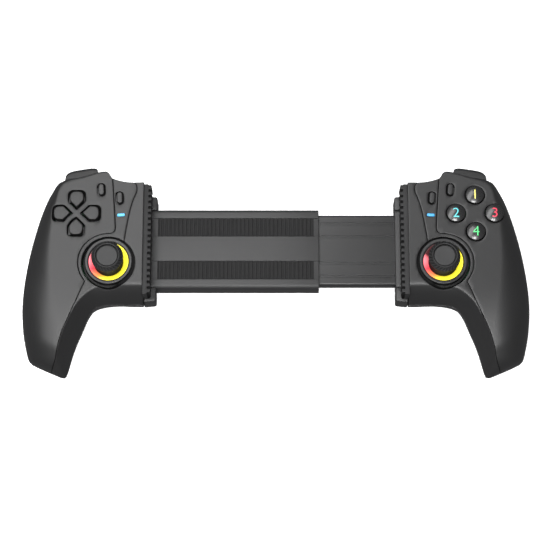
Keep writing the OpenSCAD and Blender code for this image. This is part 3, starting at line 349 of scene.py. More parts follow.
def drawn_in(skin, q, dist):
    """Loop q moved into the piece by dist, given for each of its edges."""
    p = skin(q[:, 0], q[:, 1])
    along, across, out = slopes(skin, q)
    d1 = unit(np.cross(np.roll(p, -1, 0) - p, out))
    d0 = unit(np.cross(p - np.roll(p, 1, 0), out))
    far1, far0 = dist, np.roll(dist, 1)
    c = (d0 * d1).sum(1)
    det = np.maximum(0.03, 1 - c * c)
    corner = ((far1 - c * far0) / det)[:, None] * d1 + ((far0 - c * far1) / det)[:, None] * d0
    straight = (0.5 * (far0 + far1) / np.maximum(0.5, 0.5 * (1 + c)))[:, None] * 0.5 * (d0 + d1)
    move = np.where((c > 0.97)[:, None], straight, corner)
    size = np.linalg.norm(move, axis=1)
    most = 2.2 * np.maximum(far0, far1)
    move *= np.where(size > most, most / np.maximum(size, 1e-9), 1.0)[:, None]
    m = np.stack([along, across], -1)
    mt = np.swapaxes(m, 1, 2)
    r = q + np.linalg.solve(mt @ m, mt @ move[..., None])[..., 0]
    return np.stack([np.clip(r[:, 0], 0, LAST), np.clip(r[:, 1], 0, SKIN_TOP[skin])], -1)


def within(loops, points):
    """Which points lie inside the loops, holes left out."""
    odd = np.zeros(len(points), bool)
    x, y = points[:, 0], points[:, 1]
    for q in loops:
        for (x0, y0), (x1, y1) in zip(q, np.roll(q, -1, 0)):
            if y0 == y1:
                continue
            odd ^= ((y0 > y) != (y1 > y)) & (x < (x1 - x0) * (y - y0) / (y1 - y0) + x0)
    return odd


def clear_of(loops, points, room):
    """Which points lie further than room from the loops."""
    ok = np.ones(len(points), bool)
    for q in loops:
        for a, b in zip(q, np.roll(q, -1, 0)):
            d = b - a
            t = clamp01(((points - a) @ d) / max(1e-12, d @ d))
            ok &= np.linalg.norm(points - a - t[:, None] * d, axis=1) > room
    return ok


# Scale of skin places for the triangulation, room kept from the loops, and the share of a roll at its middle
FLAT, CLEAR, ROLL_MID = np.array([8.0, 35.0]), 0.16, 0.29
TIP_RISE = LAST - TIP_LEN + TIP_LEN * np.sin(np.linspace(0, 0.495 * np.pi, 20))
S_LINES = np.concatenate([np.linspace(0, LAST - TIP_LEN, 96)[:-1], TIP_RISE])


def grid(skin):
    """Places spread over a skin, closer where it bends."""
    if skin is back:
        return np.array([[s, w] for s in S_LINES for w in np.linspace(0, 1, 56)])
    rows = []
    for s in S_LINES:
        _, c, b = section(np.array([s]), 0.0)[0]
        width = float(span(b, c)[0])
        roll = float(spline(ROLL, np.array([s]))[0])
        bend = 2 / np.pi * math.acos(max(0.0, 1 - roll / width))
        low = 1 - float(spline(ROUND_FACE, np.array([s]))[0]) / (0.5 * np.pi * width)
        bend = min(bend, low - 0.02)
        n = int(10 + 16 * bend)
        lines = [np.linspace(0, bend, n), np.linspace(bend, low, 24 - int(14 * bend))[1:],
                 np.linspace(low, 1.12, 9)[1:], np.linspace(1.12, 2, 9)[1:]]
        rows += [[s, w] for w in np.concatenate(lines)]
    return np.array(rows)


def shell(skin, loops, deep=0.0):
    """Closed shell of a skin within its loops, with rolled edges, and its faces that lie in a gap or inside,
    which take the second material as painted shade.
    Kinds of edge: 0 plain, 1 down to the parting line, 2 a deep rim."""
    up = 1 if skin is front else -1
    rings = []
    for q, gap, kind, roll in loops:
        q0 = drawn_in(skin, q, gap + roll)
        q1 = drawn_in(skin, q, gap + ROLL_MID * roll)
        q2 = drawn_in(skin, q, gap + 0.001)
        p1 = skin(*q1.T) - slopes(skin, q1)[2] * ROLL_MID * roll
        p2 = skin(*q2.T) - slopes(skin, q2)[2] * roll
        p3 = inside(skin, q2)
        feet = p2.copy()
        feet[:, 2] = part_h(p2[:, 1]) + up * 0.5 * SEAM
        rims = p2 - [0, 0, up * deep]
        p3 = np.where((kind == 1)[:, None], feet, np.where((kind == 2)[:, None], rims, p3))
        rings.append((q0, p1, p2, p3, kind))
    flat = [r[0] * FLAT for r in rings]
    spots = grid(skin) * FLAT
    spots = spots[within(flat, spots)]
    spots = spots[clear_of(flat, spots, CLEAR)]
    points = np.concatenate(flat + [spots])
    edges, at = [], 0
    for q in flat:
        edges += [(at + i, at + (i + 1) % len(q)) for i in range(len(q))]
        at += len(q)
    made = delaunay_2d_cdt([Vector(p) for p in points], edges, [], 0, 1e-7)
    places = np.array([list(p) for p in made[0]])
    faces = [tuple(f) for f in made[2]]
    middles = np.array([places[list(f)].mean(0) for f in faces])
    faces = [f for f, ok in zip(faces, within(flat, middles)) if ok]
    where = {i: k for k, src in enumerate(made[3]) for i in src}
    q = places / FLAT
    top, low = skin(*q.T), inside(skin, q)
    verts = [top, low]
    n = len(q)
    hidden = list(range(len(faces), 2 * len(faces)))
    faces += [tuple(n + i for i in f[::-1]) for f in faces]
    count, at = 2 * n, 0
    for q0, p1, p2, p3, kind in rings:
        m = len(q0)
        tops = [where[at + i] for i in range(m)]
        lines = [tops]
        for p in (p1, p2, p3):
            verts.append(p)
            lines.append(list(range(count, count + m)))
            count += m
        lines.append([n + i for i in tops])
        for k, (one, two) in enumerate(zip(lines, lines[1:])):
            # These faces get the near-black second material: painted shade in the seams and inside
            hidden += [len(faces) + i for i in range(m) if k == 3 or k == 2 and kind[i] == 0]
            faces += band(one, two)
        at += m
    return np.concatenate(verts), faces, hidden


# Plain solids
def band(one, two):
    """Faces between two rings of points."""
    n = len(one)
    return [(one[i], one[(i + 1) % n], two[(i + 1) % n], two[i]) for i in range(n)]


def stack(rings):
    """Closed solid through rings of points, capped at both ends."""
    n = len(rings[0])
    rows = [tuple(range(k * n, (k + 1) * n)) for k in range(len(rings))]
    faces = [rows[0][::-1], rows[-1]]
    for one, two in zip(rows, rows[1:]):
        faces += band(one, two)
    return np.concatenate(rings), faces


def lathe(profile, n=96, shape=None, second=None):
    """Solid turned from a profile of (radius, height). Ends on the axis are closed to a point. Faces whose
    middle radius, height and angle pass the second test take the second material."""
    profile = np.asarray(profile, float)
    closed = profile[0][0] > 1e-6
    turn = np.linspace(0, 2 * np.pi, n, endpoint=False)
    verts, rows = [], []
    for k, (r, z) in enumerate(profile):
        if r < 1e-6:
            rows.append([len(verts)])
            verts.append((0, 0, z))
            continue
        rows.append(list(range(len(verts), len(verts) + n)))
        for g in turn:
            rr = r + (shape(k, g) if shape else 0)
            verts.append((rr * math.cos(g), rr * math.sin(g), z))
    pairs = list(zip(rows, rows[1:])) + ([(rows[-1], rows[0])] if closed else [])
    faces, marked = [], []
    for k, (one, two) in enumerate(pairs):
        r, z = mix(profile[k], profile[(k + 1) % len(profile)], 0.5)
        if second:
            marked += [len(faces) + i for i in range(n) if second(r, z, turn[i])]
        if len(one) == 1:
            faces += [(one[0], two[(i + 1) % n], two[i]) for i in range(n)]
        elif len(two) == 1:
            faces += [(one[i], one[(i + 1) % n], two[0]) for i in range(n)]
        else:
            faces += band(one, two)
    return np.array(verts), faces, marked


def bent(a, p, b, d, n):
    """Curve round corner p, from d before it to d after it."""
    one, two = p + (a - p) * d / span(a, p), p + (b - p) * d / span(b, p)
    return [(1 - t) ** 2 * one + 2 * t * (1 - t) * p + t * t * two for t in np.linspace(0, 1, n)]


def soften(points, r, n=4, closed=True):
    """Rounds the corners of a polygon or profile."""
    points = np.asarray(points, float)
    out = []
    m = len(points)
    for i, p in enumerate(points):
        if not closed and i in (0, m - 1):
            out.append(p)
            continue
        a, b = points[i - 1], points[(i + 1) % m]
        out += bent(a, p, b, min(r, 0.48 * span(a, p), 0.48 * span(b, p)), n)
    return np.array(out)


def grow(points, d):
    """Polygon, counter-clockwise, moved outward by d."""
    ahead = unit(np.roll(points, -1, 0) - points)
    behind = np.roll(ahead, 1, 0)
    n = np.stack([behind[:, 1] + ahead[:, 1], -behind[:, 0] - ahead[:, 0]], -1)
    return points + d * n / np.maximum(0.5, (n * n).sum(1) / 2)[:, None]


def layers(outline, levels, axes=(0, 1, 2), at=(0, 0, 0)):
    """Rings of an outline at (level, inset) steps. Axes 0 and 1 are the outline's own, 2 is the level."""
    rings = []
    for level, inset in levels:
        p = grow(outline, -inset)
        rings.append(np.column_stack([p, np.full(len(p), level)])[:, axes] + at)
    return rings


def prism(outline, levels):
    """Solid over a plan outline, from (height, inset) levels."""
    return stack(layers(outline, levels))


def join(*solids):
    faces, at = [], 0
    for solid in solids:
        faces += [tuple(at + i for i in face) for face in solid[1]]
        at += len(solid[0])
    return np.concatenate([solid[0] for solid in solids]), faces


def moved(solid, by):
    return (solid[0] + by, *solid[1:])


def turned(points, angle):
    c, s = math.cos(angle), math.sin(angle)
    points = np.asarray(points, float)
    out = points.copy()
    out[:, 0] = c * points[:, 0] - s * points[:, 1]
    out[:, 1] = s * points[:, 0] + c * points[:, 1]
    return out


def placed(solid, angle, at):
    return turned(solid[0], angle) + [*at, 0], solid[1]


def arc_points(r, start, stop, n):
    """Points at radius r between two angles in degrees."""
    g = np.radians(np.linspace(start, stop, n))
    return r * np.column_stack([np.cos(g), np.sin(g)])


def circle(r, n=64):
    return arc_points(r, 0, 360, n + 1)[:-1]


def oval(length, width):
    arc = arc_points(width / 2, 0, 180, 24)
    rise = [0, (length - width) / 2]
    return np.concatenate([arc + rise, -arc - rise])


def box_outline(length, width, r, n=6):
    x, y = length / 2, width / 2
    return soften([[-x, -y], [x, -y], [x, y], [-x, y]], r * 1.6, n)


def shield(grown):
    """A direction key in plan, pointing along +v."""
    h = CROSS_W / 2 + grown
    low, high = CROSS_IN - grown * math.sqrt(2), CROSS_OUT + grown
    line = np.array([[0, low], [h, low + h], [h, high], [-h, high], [-h, low + h]])
    outer = min(3.4, 0.95 * h)
    out = []
    for i, r in enumerate([0.5, 0.7, outer, outer, 0.7]):
        out += bent(line[i - 1], line[i], line[(i + 1) % 5], r, 10)
    return np.array(out)


# Materials
def feed(tree, node, values, links):
    """Gives a shader node its input values and links."""
    for key, value in values.items():
        node.inputs[key].default_value = value
    for key, source in links.items():
        tree.links.new(source, node.inputs[key])


def add(tree, kind, values, links):
    node = tree.nodes.new("ShaderNode" + kind)
    feed(tree, node, values, links)
    return node


def new_material(name):
    """A material with its tree, its shader and the place on the object."""
    m = bpy.data.materials.new(name)
    m.use_nodes = True
    tree = m.node_tree
    return m, tree, tree.nodes["Principled BSDF"], add(tree, "TexCoord", {}, {}).outputs["Object"]


def noise(tree, where, grain, detail=3.0):
    """Noise with lumps of about grain millimetres."""
    values = {"Scale": 1 / (grain * MM), "Detail": detail, "Roughness": 0.55}
    return add(tree, "TexNoise", values, {"Vector": where}).outputs["Fac"]


def ramp(tree, source, stops):
    r = add(tree, "ValToRGB", {}, {"Fac": source})
    e = r.color_ramp.elements
    while len(e) < len(stops):
        e.new(0.5)
    for k, (at, colour) in enumerate(stops):
        e[k].position = at
        e[k].color = (*colour, 1)
    return r.outputs["Color"]


def grey(v):
    """Linear value of an sRGB grey from 0 to 255."""
    c = v / 255
    return c / 12.92 if c <= 0.04045 else ((c + 0.055) / 1.055) ** 2.4


def tone(r, g, b):
    return grey(r), grey(g), grey(b)


def even(v):
    return grey(v), grey(v), grey(v) * 1.02


# Part of the noise's range that is spread over a ramp, lump size of the slow clouds, change of gloss
LOW, HIGH, CLOUD, UNEVEN = 0.3, 0.7, 14.0, 0.05


def plastic(name, colour, rough, grain, relief, spread, coat=0.0, metal=0.0, level=0.5):
    """Moulded surface: a fine grain, slightly uneven gloss and colour."""
    m, tree, shader, where = new_material(name)
    fine = noise(tree, where, grain)
    dark = tuple(c * (1 - spread) for c in colour)
    light = tuple(min(1, c * (1 + spread)) for c in colour)
    tint = ramp(tree, noise(tree, where, CLOUD, 2.0), [(LOW, dark), (HIGH, light)])
    limits = {"From Min": LOW, "From Max": HIGH, "To Min": rough - UNEVEN, "To Max": rough + UNEVEN}
    gloss = add(tree, "MapRange", limits, {"Value": fine}).outputs["Result"]
    feed(tree, shader, {"Metallic": metal, "Specular IOR Level": level, "Coat Weight": coat,
                        "Coat Roughness": 0.06}, {"Base Color": tint, "Roughness": gloss})
    if relief:
        bump = add(tree, "Bump", {"Strength": 0.5, "Distance": relief * MM}, {"Height": fine})
        feed(tree, shader, {}, {"Normal": bump.outputs["Normal"]})
    return m


def glow_ring(name, centre):
    """Lit ring whose colour turns from red on the left through orange to yellow, dim over part of its far
    side, its glow weaker towards the inside as painted shade under the cap.
    """
    m, tree, shader, where = new_material(name)
    to_middle = {"Location": (-centre[0], -centre[1], 0)}
    place = add(tree, "Mapping", to_middle, {"Vector": where}).outputs["Vector"]
    turn = add(tree, "TexGradient", {}, {"Vector": place})
    turn.gradient_type = "RADIAL"
    pink, red, orange = tone(250, 120, 128), tone(236, 66, 80), tone(248, 140, 84)
    yellow, dim = tone(255, 240, 60), tone(70, 34, 36)
    hue = ramp(tree, turn.outputs["Fac"], [
        (0.0, pink), (0.07, red), (0.15, orange), (0.23, yellow), (0.66, yellow), (0.71, dim), (0.93, dim),
        (0.965, pink)])
    flat = add(tree, "VectorMath", {1: (1, 1, 0)}, {0: place})
    flat.operation = "MULTIPLY"
    reach = add(tree, "VectorMath", {}, {0: flat.outputs["Vector"]})
    reach.operation = "LENGTH"
    # Glow weaker towards the inner edge: painted shade under the cap
    limits = {"From Min": 8.0 * MM, "From Max": 10.9 * MM, "To Min": 0.25, "To Max": 0.9}
    power = add(tree, "MapRange", limits, {"Value": reach.outputs["Value"]})
    power.interpolation_type = "SMOOTHSTEP"
    feed(tree, shader, {"Roughness": 0.3}, {"Base Color": hue, "Emission Color": hue,
                                            "Emission Strength": power.outputs["Result"]})
    return m


def lit(name, colour, power):
    m, tree, shader, where = new_material(name)
    dim = tuple(0.85 * c for c in colour)
    tint = ramp(tree, noise(tree, where, 1.6, 1.0), [(LOW, dim), (HIGH, colour)])
    feed(tree, shader, {"Emission Strength": power, "Roughness": 0.35},
         {"Base Color": tint, "Emission Color": tint})
    return m


# Each with its grey or colour, roughness, grain and relief in millimetres and spread of colour
FINISHES = {
    "shell": ("shell_plastic", 31, 0.45, 0.3, 0.012, 0.05),
    "shell_dark": ("inner_shell_plastic", 31, 0.44, 0.3, 0.012, 0.05),
    "trim": ("trim_plastic", 31, 0.45, 0.3, 0.01, 0.05),
    # Darker than the shell: painted shade on the bezel's walls down in the stick's well
    "moat": ("moat_plastic", 18, 0.6, 0.4, 0.01, 0.06, {"level": 0.3}),
    # Near-black: painted shade for faces down in seams, under the skins and behind the pad's teeth
    "gap": ("shade_plastic", 14, 0.7, 0.4, 0.01, 0.1, {"level": 0.1}),
    "bridge": ("bridge_plastic", 40, 0.5, 0.4, 0.02, 0.06),
    "slider": ("slider_plastic", 34, 0.42, 0.4, 0.015, 0.06),
    "strip": ("strip_rubber", 26, 0.7, 0.5, 0.03, 0.1, {"level": 0.3}),
    "direction_keys": ("direction_key_plastic", 28, 0.45, 0.3, 0.008, 0.05),
    "bumper": ("bumper_plastic", 24, 0.55, 0.3, 0.008, 0.05),
    "oval_keys": ("oval_key_plastic", 32, 0.42, 0.3, 0.006, 0.05),
    "gloss_keys": ("button_gloss", 36, 0.3, 0.5, 0.0, 0.08, {"coat": 0.25}),
    "rubber": ("pad_rubber", 42, 0.65, 0.5, 0.03, 0.1, {"level": 0.3}),
    "cap_rubber": ("stick_rubber", 46, 0.55, 0.4, 0.025, 0.08, {"level": 0.4}),
    # Dark side rubber of the stick cap, also used as painted shade in its groove, knurl valleys and underside
    "cap_side": ("stick_side_rubber", 10, 0.6, 0.4, 0.02, 0.08),
    "key_mat": ("mat_silicone", 104, 0.6, 0.5, 0.01, 0.05),
    "bezel": ("bezel_plastic", 40, 0.42, 0.4, 0.006, 0.06),
    "steel": ("screw_steel", 150, 0.32, 0.25, 0.01, 0.08, {"metal": 1.0}),
    "spring": ("spring_steel", 175, 0.25, 0.25, 0.004, 0.06, {"metal": 1.0}),
    "inner_plastic": ("inner_plastic", 48, 0.5, 0.4, 0.012, 0.08),
    "board": ("board_lacquer", tone(24, 74, 44), 0.35, 0.8, 0.01, 0.18, {"coat": 0.3}),
    "battery": ("cell_wrap", tone(132, 140, 150), 0.3, 0.6, 0.01, 0.06, {"coat": 0.3}),
    "ribbon": ("ribbon_film", tone(196, 160, 92), 0.3, 0.5, 0.004, 0.08, {"coat": 0.4}),
}
MATERIALS = {}
for key, (name, colour, rough, grain, relief, spread, *more) in FINISHES.items():
    colour = even(colour) if isinstance(colour, int) else colour
    MATERIALS[key] = plastic(name, colour, rough, grain, relief, spread, **(more[0] if more else {}))
MATERIALS["lit_left"] = lit("lit_key_left", tone(89, 184, 226), 0.55)
MATERIALS["lit_right"] = lit("lit_key_right", tone(71, 162, 220), 0.5)


# Making pieces
def to_frame(side, points):
    """Handle millimetres to metres in the part's frame."""
    points = np.asarray(points, float)
    return np.column_stack([side * (BAY / 2 + points[:, 0]), points[:, 1] - MID_V, points[:, 2]]) * MM


def on_side(side, solid):
    """A solid of a handle in the part's frame."""
    return (to_frame(side, solid[0]), *solid[1:])


def on_bay(solid):
    """A solid of the bridge, with v from the bay's middle, in the part's frame."""
    return (solid[0] - [0, MID_V, 0]) * MM, solid[1]


def piece(name, solid, material, slot, body, *nodes, sharp=35.0, second=None):
    """One piece of the part. A solid may list faces that take the second material."""
    verts, faces = solid[:2]
    mesh = bpy.data.meshes.new(name)
    mesh.from_pydata([tuple(p) for p in verts], [], faces)
    for i in solid[2] if second else []:
        mesh.polygons[i].material_index = 1
    bm = bmesh.new()
    bm.from_mesh(mesh)
    bmesh.ops.remove_doubles(bm, verts=bm.verts, dist=1e-7)
    loose = [v for v in bm.verts if not v.link_faces]
    bmesh.ops.delete(bm, geom=loose, context="VERTS")
    bmesh.ops.recalc_face_normals(bm, faces=bm.faces)
    bm.to_mesh(mesh)
    bm.free()
    mesh.shade_smooth()
    mesh.set_sharp_from_angle(angle=math.radians(sharp))
    for look in [material, second] if second else [material]:
        mesh.materials.append(MATERIALS[look] if isinstance(look, str) else look)
    obj = bpy.data.objects.new(name, mesh)
    bpy.context.scene.collection.objects.link(obj)
    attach(obj, body)
    if nodes:
        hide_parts(*nodes)


def half_piece(half, name, solid, look, slot, body, *nodes, **more):
    """A piece of one half, whose name, body and nodes begin with the half's name."""
    nodes = [f"{half}_{node}" for node in nodes]
    piece(f"{half}_{name}", on_side(SIDES[half], solid), look, slot, f"{half}_{body}", *nodes, **more)


# Plan lines of the front. The main seam runs down from the top edge, then round the stick's well.
SEAM_TOP_U, SEAM_TURN_V, SEAM_R = 22.84, STICK[1] + 19.1, 17.1
SEAM_MID = STICK + [0.5, -0.75]


def seam_plan():
    """Main seam from the top edge to where it meets the crease."""
    arc = SEAM_MID + arc_points(SEAM_R, 82, -42, 40)
    upper = [[SEAM_TOP_U - 0.01, JAW_UP + 2], [22.8, JAW_UP + 1], [21.1, CLUSTER[1]], [20.5, SEAM_TURN_V],
             [21.1, SEAM_TURN_V - 1.6], [22.6, SEAM_TURN_V - 2.5]]
    bend = [[37.9, -CREASE_V + 0.4], [38.6, -CREASE_V - 1], [40.2, -CREASE_V - 4.6], [41.9, -CREASE_V - 9]]
    return soften(np.concatenate([upper, arc, bend]), 2.5, 5, closed=False)


def crease_line(n=90):
    s = np.linspace(8.6, LAST, n)
    _, c, b = section(s, 0.0)[0]
    return np.column_stack([s, 2 / np.pi * np.arccos(0.3 / span(b, c))])


SEAM_PLACES = np.concatenate([at_plan(front, seam_plan()), crease_line()])
SEAM_S = edge_s(SEAM_TOP_U)
SEAM_PLACES[0] = SEAM_S, 0.0
PANEL_TOP_U, FOOT_IN = 11.8, 8.6
PANEL_EDGE = soften([[PANEL_TOP_U - 0.02, JAW_UP - 0.06], [8.7, JAW_UP - 2.2], [8.5, JAW_UP - 5.4],
                     [WELL[0] - FOOT_IN, WELL[1] + math.sqrt(WELL_R**2 - FOOT_IN**2)]], 2.4, 8, closed=False)
PANEL_PLACES = at_plan(front, PANEL_EDGE)
PANEL_PLACES[0] = edge_s(PANEL_TOP_U), 0.0
TAIL_U = 23.6


def well_arc(start, stop, n):
    """Stretch of the stick's well in plan, between two angles in degrees."""
    return WELL + arc_points(WELL_R, start, stop, n)


FOOT_G = math.degrees(math.acos(-FOOT_IN / WELL_R))
TAIL_G = math.degrees(math.acos((TAIL_U - WELL[0]) / WELL_R))


def seam_split():
    """Where the panel's tail ends on the main seam."""
    u, v, _ = front(*SEAM_PLACES[:60].T).T
    return int(np.nonzero((u > TAIL_U) & (v < 10))[0][0])


TAIL = seam_split()


def wing_loops(keys):
    notch_u0, notch_u1, notch_z = BUMPER_U - 0.4, BUMPER_U + 21.2, BUMPER_Z + BUMPER_H + 0.3
    us = np.linspace(notch_u0, notch_u1, 30)
    corners = soften(np.concatenate([[[notch_u0, PART_Z + 0.1]], np.column_stack([us, np.full(30, notch_z)]),
                                     [[notch_u1, PART_Z + 0.1]]]), 1.6, 5, closed=False)
    notch = at_edge(front, corners)
    notch[0], notch[-1] = (edge_s(notch_u0), 0.0), (edge_s(notch_u1), 0.0)
    rim = loop(
        parting(front, (SEAM_S, 0), notch[0]),
        run(front, notch, FINE),
        parting(front, notch[-1], (LAST, 0)),
        ending(front, (LAST, 0), SEAM_PLACES[-1]),
        run(front, SEAM_PLACES[::-1], FINE), roll=0.26)
    openings = [hole(front, turned(oval(OVAL_L, OVAL_W), OVAL_TILT) + MINUS)]
    for k in range(4):
        if keys == "cross":
            openings.append(hole(front, turned(shield(0), k * math.pi / 2) + CLUSTER, 0.6))
        else:
            at = CLUSTER + turned([[0, FACE_STEP]], k * math.pi / 2)[0]
            openings.append(hole(front, circle(FACE_R + BUTTON_GAP) + at, roll=0.5))
    return [rim, *openings]


def inner_loops():
    well = at_plan(front, well_arc(FOOT_G, 360 + TAIL_G, 160))
    rest = SEAM_PLACES[TAIL:]
    return [loop(
        parting(front, (0, 0), PANEL_PLACES[0]),
        run(front, PANEL_PLACES, FINE, SEAM),
        run(front, well, FINE, 0.0, 2),
        run(front, [well[-1], rest[0]], 0.4),
        run(front, rest, FINE, SEAM),
        ending(front, rest[-1], (LAST, 2)),
        parting(front, (LAST, 2), (0, 2)),
        ending(front, (0, 2), (0, 0)), roll=0.2)]


def panel_loops():
    well = at_plan(front, well_arc(TAIL_G - 3.0, FOOT_G, 30))
    rim = loop(
        parting(front, PANEL_PLACES[0], (SEAM_S, 0)),
        run(front, SEAM_PLACES[:TAIL + 2], FINE, SEAM),
        run(front, [SEAM_PLACES[TAIL + 1], well[0]], 0.4),
        run(front, well, FINE, 0.0, 2),
        run(front, PANEL_PLACES[::-1], FINE), roll=0.22)
    return [rim, hole(front, turned(oval(OVAL_L, OVAL_W), OVAL_TILT) + TURBO),
            hole(front, turned(box_outline(LIT_L, LIT_W, 0.5), OVAL_TILT) + LIT_AT, 0.4, roll=0.15)]


def rear_loops(port):
    half = POCKET_W / 2
    s0, s1 = edge_s(TRIGGER_U + half), edge_s(TRIGGER_U - half)
    plan = [[TRIGGER_U + half, POCKET_V + 5], [TRIGGER_U + half, POCKET_V], [TRIGGER_U - half, POCKET_V],
            [TRIGGER_U - half, POCKET_V + 5]]
    pocket = at_plan(back, soften(plan, 1.6, 6, closed=False))
    runs = [
        parting(back, (0, 0), (LAST, 0)),
        ending(back, (LAST, 0), (LAST, 1)),
        parting(back, (LAST, 1), (s0, 1)),
        run(back, np.concatenate([[(s0, 1)], pocket, [(s1, 1)]]), 0.8)]
    if port:
        arc = arc_points(PORT_R, 0, -90, 10) + [PORT_U + PORT_HALF, PORT_Z]
        mirrored = np.column_stack([2 * PORT_U - arc[::-1, 0], arc[::-1, 1]])
        slot = at_edge(back, np.concatenate([arc, mirrored]))
        a, b = (edge_s(PORT_U + k * (PORT_HALF + PORT_R)) for k in (1, -1))
        runs += [parting(back, (s1, 1), (a, 1)),
                 run(back, np.concatenate([[(a, 1)], slot, [(b, 1)]]), 0.5),
                 parting(back, (b, 1), (0, 1))]
    else:
        runs.append(parting(back, (s1, 1), (0, 1)))
    wide, deep = 24.15, 7.0
    ends = at_plan(back, [[JAW_U + 0.02, wide], [deep, wide], [deep, -wide], [JAW_U + 0.02, -wide]])
    ends[0, 0] = ends[3, 0] = 0.0
    runs += [ending(back, (0, 1), ends[0]), run(back, ends, COARSE),
             ending(back, ends[3], (0, 0))]
    holes = [hole(back, circle(SCREW_R, 40) + p, 0.45, 2, 0.35) for p in SCREWS]
    return [loop(*runs, roll=0.3), *holes]


WELL_DEEP, SCREW_DEEP = 4.3, 4.5
SHELLS = {
    "inner_shell": (shell(front, inner_loops(), WELL_DEEP), "shell_dark"),
    "function_panel": (shell(front, panel_loops(), WELL_DEEP), "trim"),
}
for half in SIDES:
    wing = shell(front, wing_loops("cross" if half == "left" else "round"))
    rear = shell(back, rear_loops(half == "right"), SCREW_DEEP)
    own = {"outer_shell": (wing, "shell"), "rear_shell": (rear, "shell_dark")}
    for node, (made, look) in {**SHELLS, **own}.items():
        # The second material paints shade on the faces in the seams and inside
        half_piece(half, node + "_skin", made, look, look, "half", node, second="gap")

# Clamp pads
PAD_BASE, PAD_LOW, PAD_TOP = 4.5, 24.5, 34.8
TOOTH, TOOTH_W, TOOTH_PITCH = 1.8, 1.9, 3.45


def pad_solids():
    """Rubber with its row of teeth, and the shade between them."""
    low, high = 3 - JAW_DOWN, JAW_UP - 1.4
    count = int((high - low - TOOTH_W) // TOOTH_PITCH)
    first = low + (high - low - TOOTH_W - count * TOOTH_PITCH) / 2
    line = [[PAD_BASE, low], [PAD_BASE, high], [TOOTH, high]]
    for i in range(count, -1, -1):
        v = first + i * TOOTH_PITCH
        line += [[TOOTH, v + TOOTH_W], [0, v + TOOTH_W], [0, v], [TOOTH, v]]
    line.append([TOOTH, low])
    rubber = prism(soften(line, 0.28, 3), [
        (PAD_LOW, 0.2), (PAD_LOW + 0.08, 0.08), (PAD_LOW + 0.3, 0.0), (PAD_TOP - 0.3, 0.0),
        (PAD_TOP - 0.12, 0.05), (PAD_TOP - 0.03, 0.12), (PAD_TOP, 0.2)])
    x0, x1, v0, v1 = 0.3, TOOTH + 0.2, low + 0.2, high - 0.2
    shade = prism([[x0, v0], [x1, v0], [x1, v1], [x0, v1]], [(PAD_LOW + 0.1, 0.0), (PAD_TOP - 1.1, 0.0)])
    return rubber, shade


PAD, PAD_SHADE = pad_solids()
for half in SIDES:
    half_piece(half, "pad", PAD, "rubber", "rubber", "half", "clamp_pad")
    # A near-black block behind the teeth paints the shade between them
    half_piece(half, "pad_shade", PAD_SHADE, "gap", "rubber", "half")

# Thumbsticks
KNURLS, RIM_R, SIDE_DROP = 28, 7.4, 2.8
BASE_Z, RING_IN, FLANGE_R, FLANGE_LOW, FLANGE_TOP = 21.6, 10.1, 14.9, 30.2, 31.4
NECK_R, SOCKET_R, SKIRT_WALL = 3.6, 1.25, 1.2


def ball_line(r, start, stop, n):
    """Profile of a ball about the pivot, between two angles from the axis."""
    return arc_points(r, 90 - start, 90 - stop, n) + [0, PIVOT_Z]


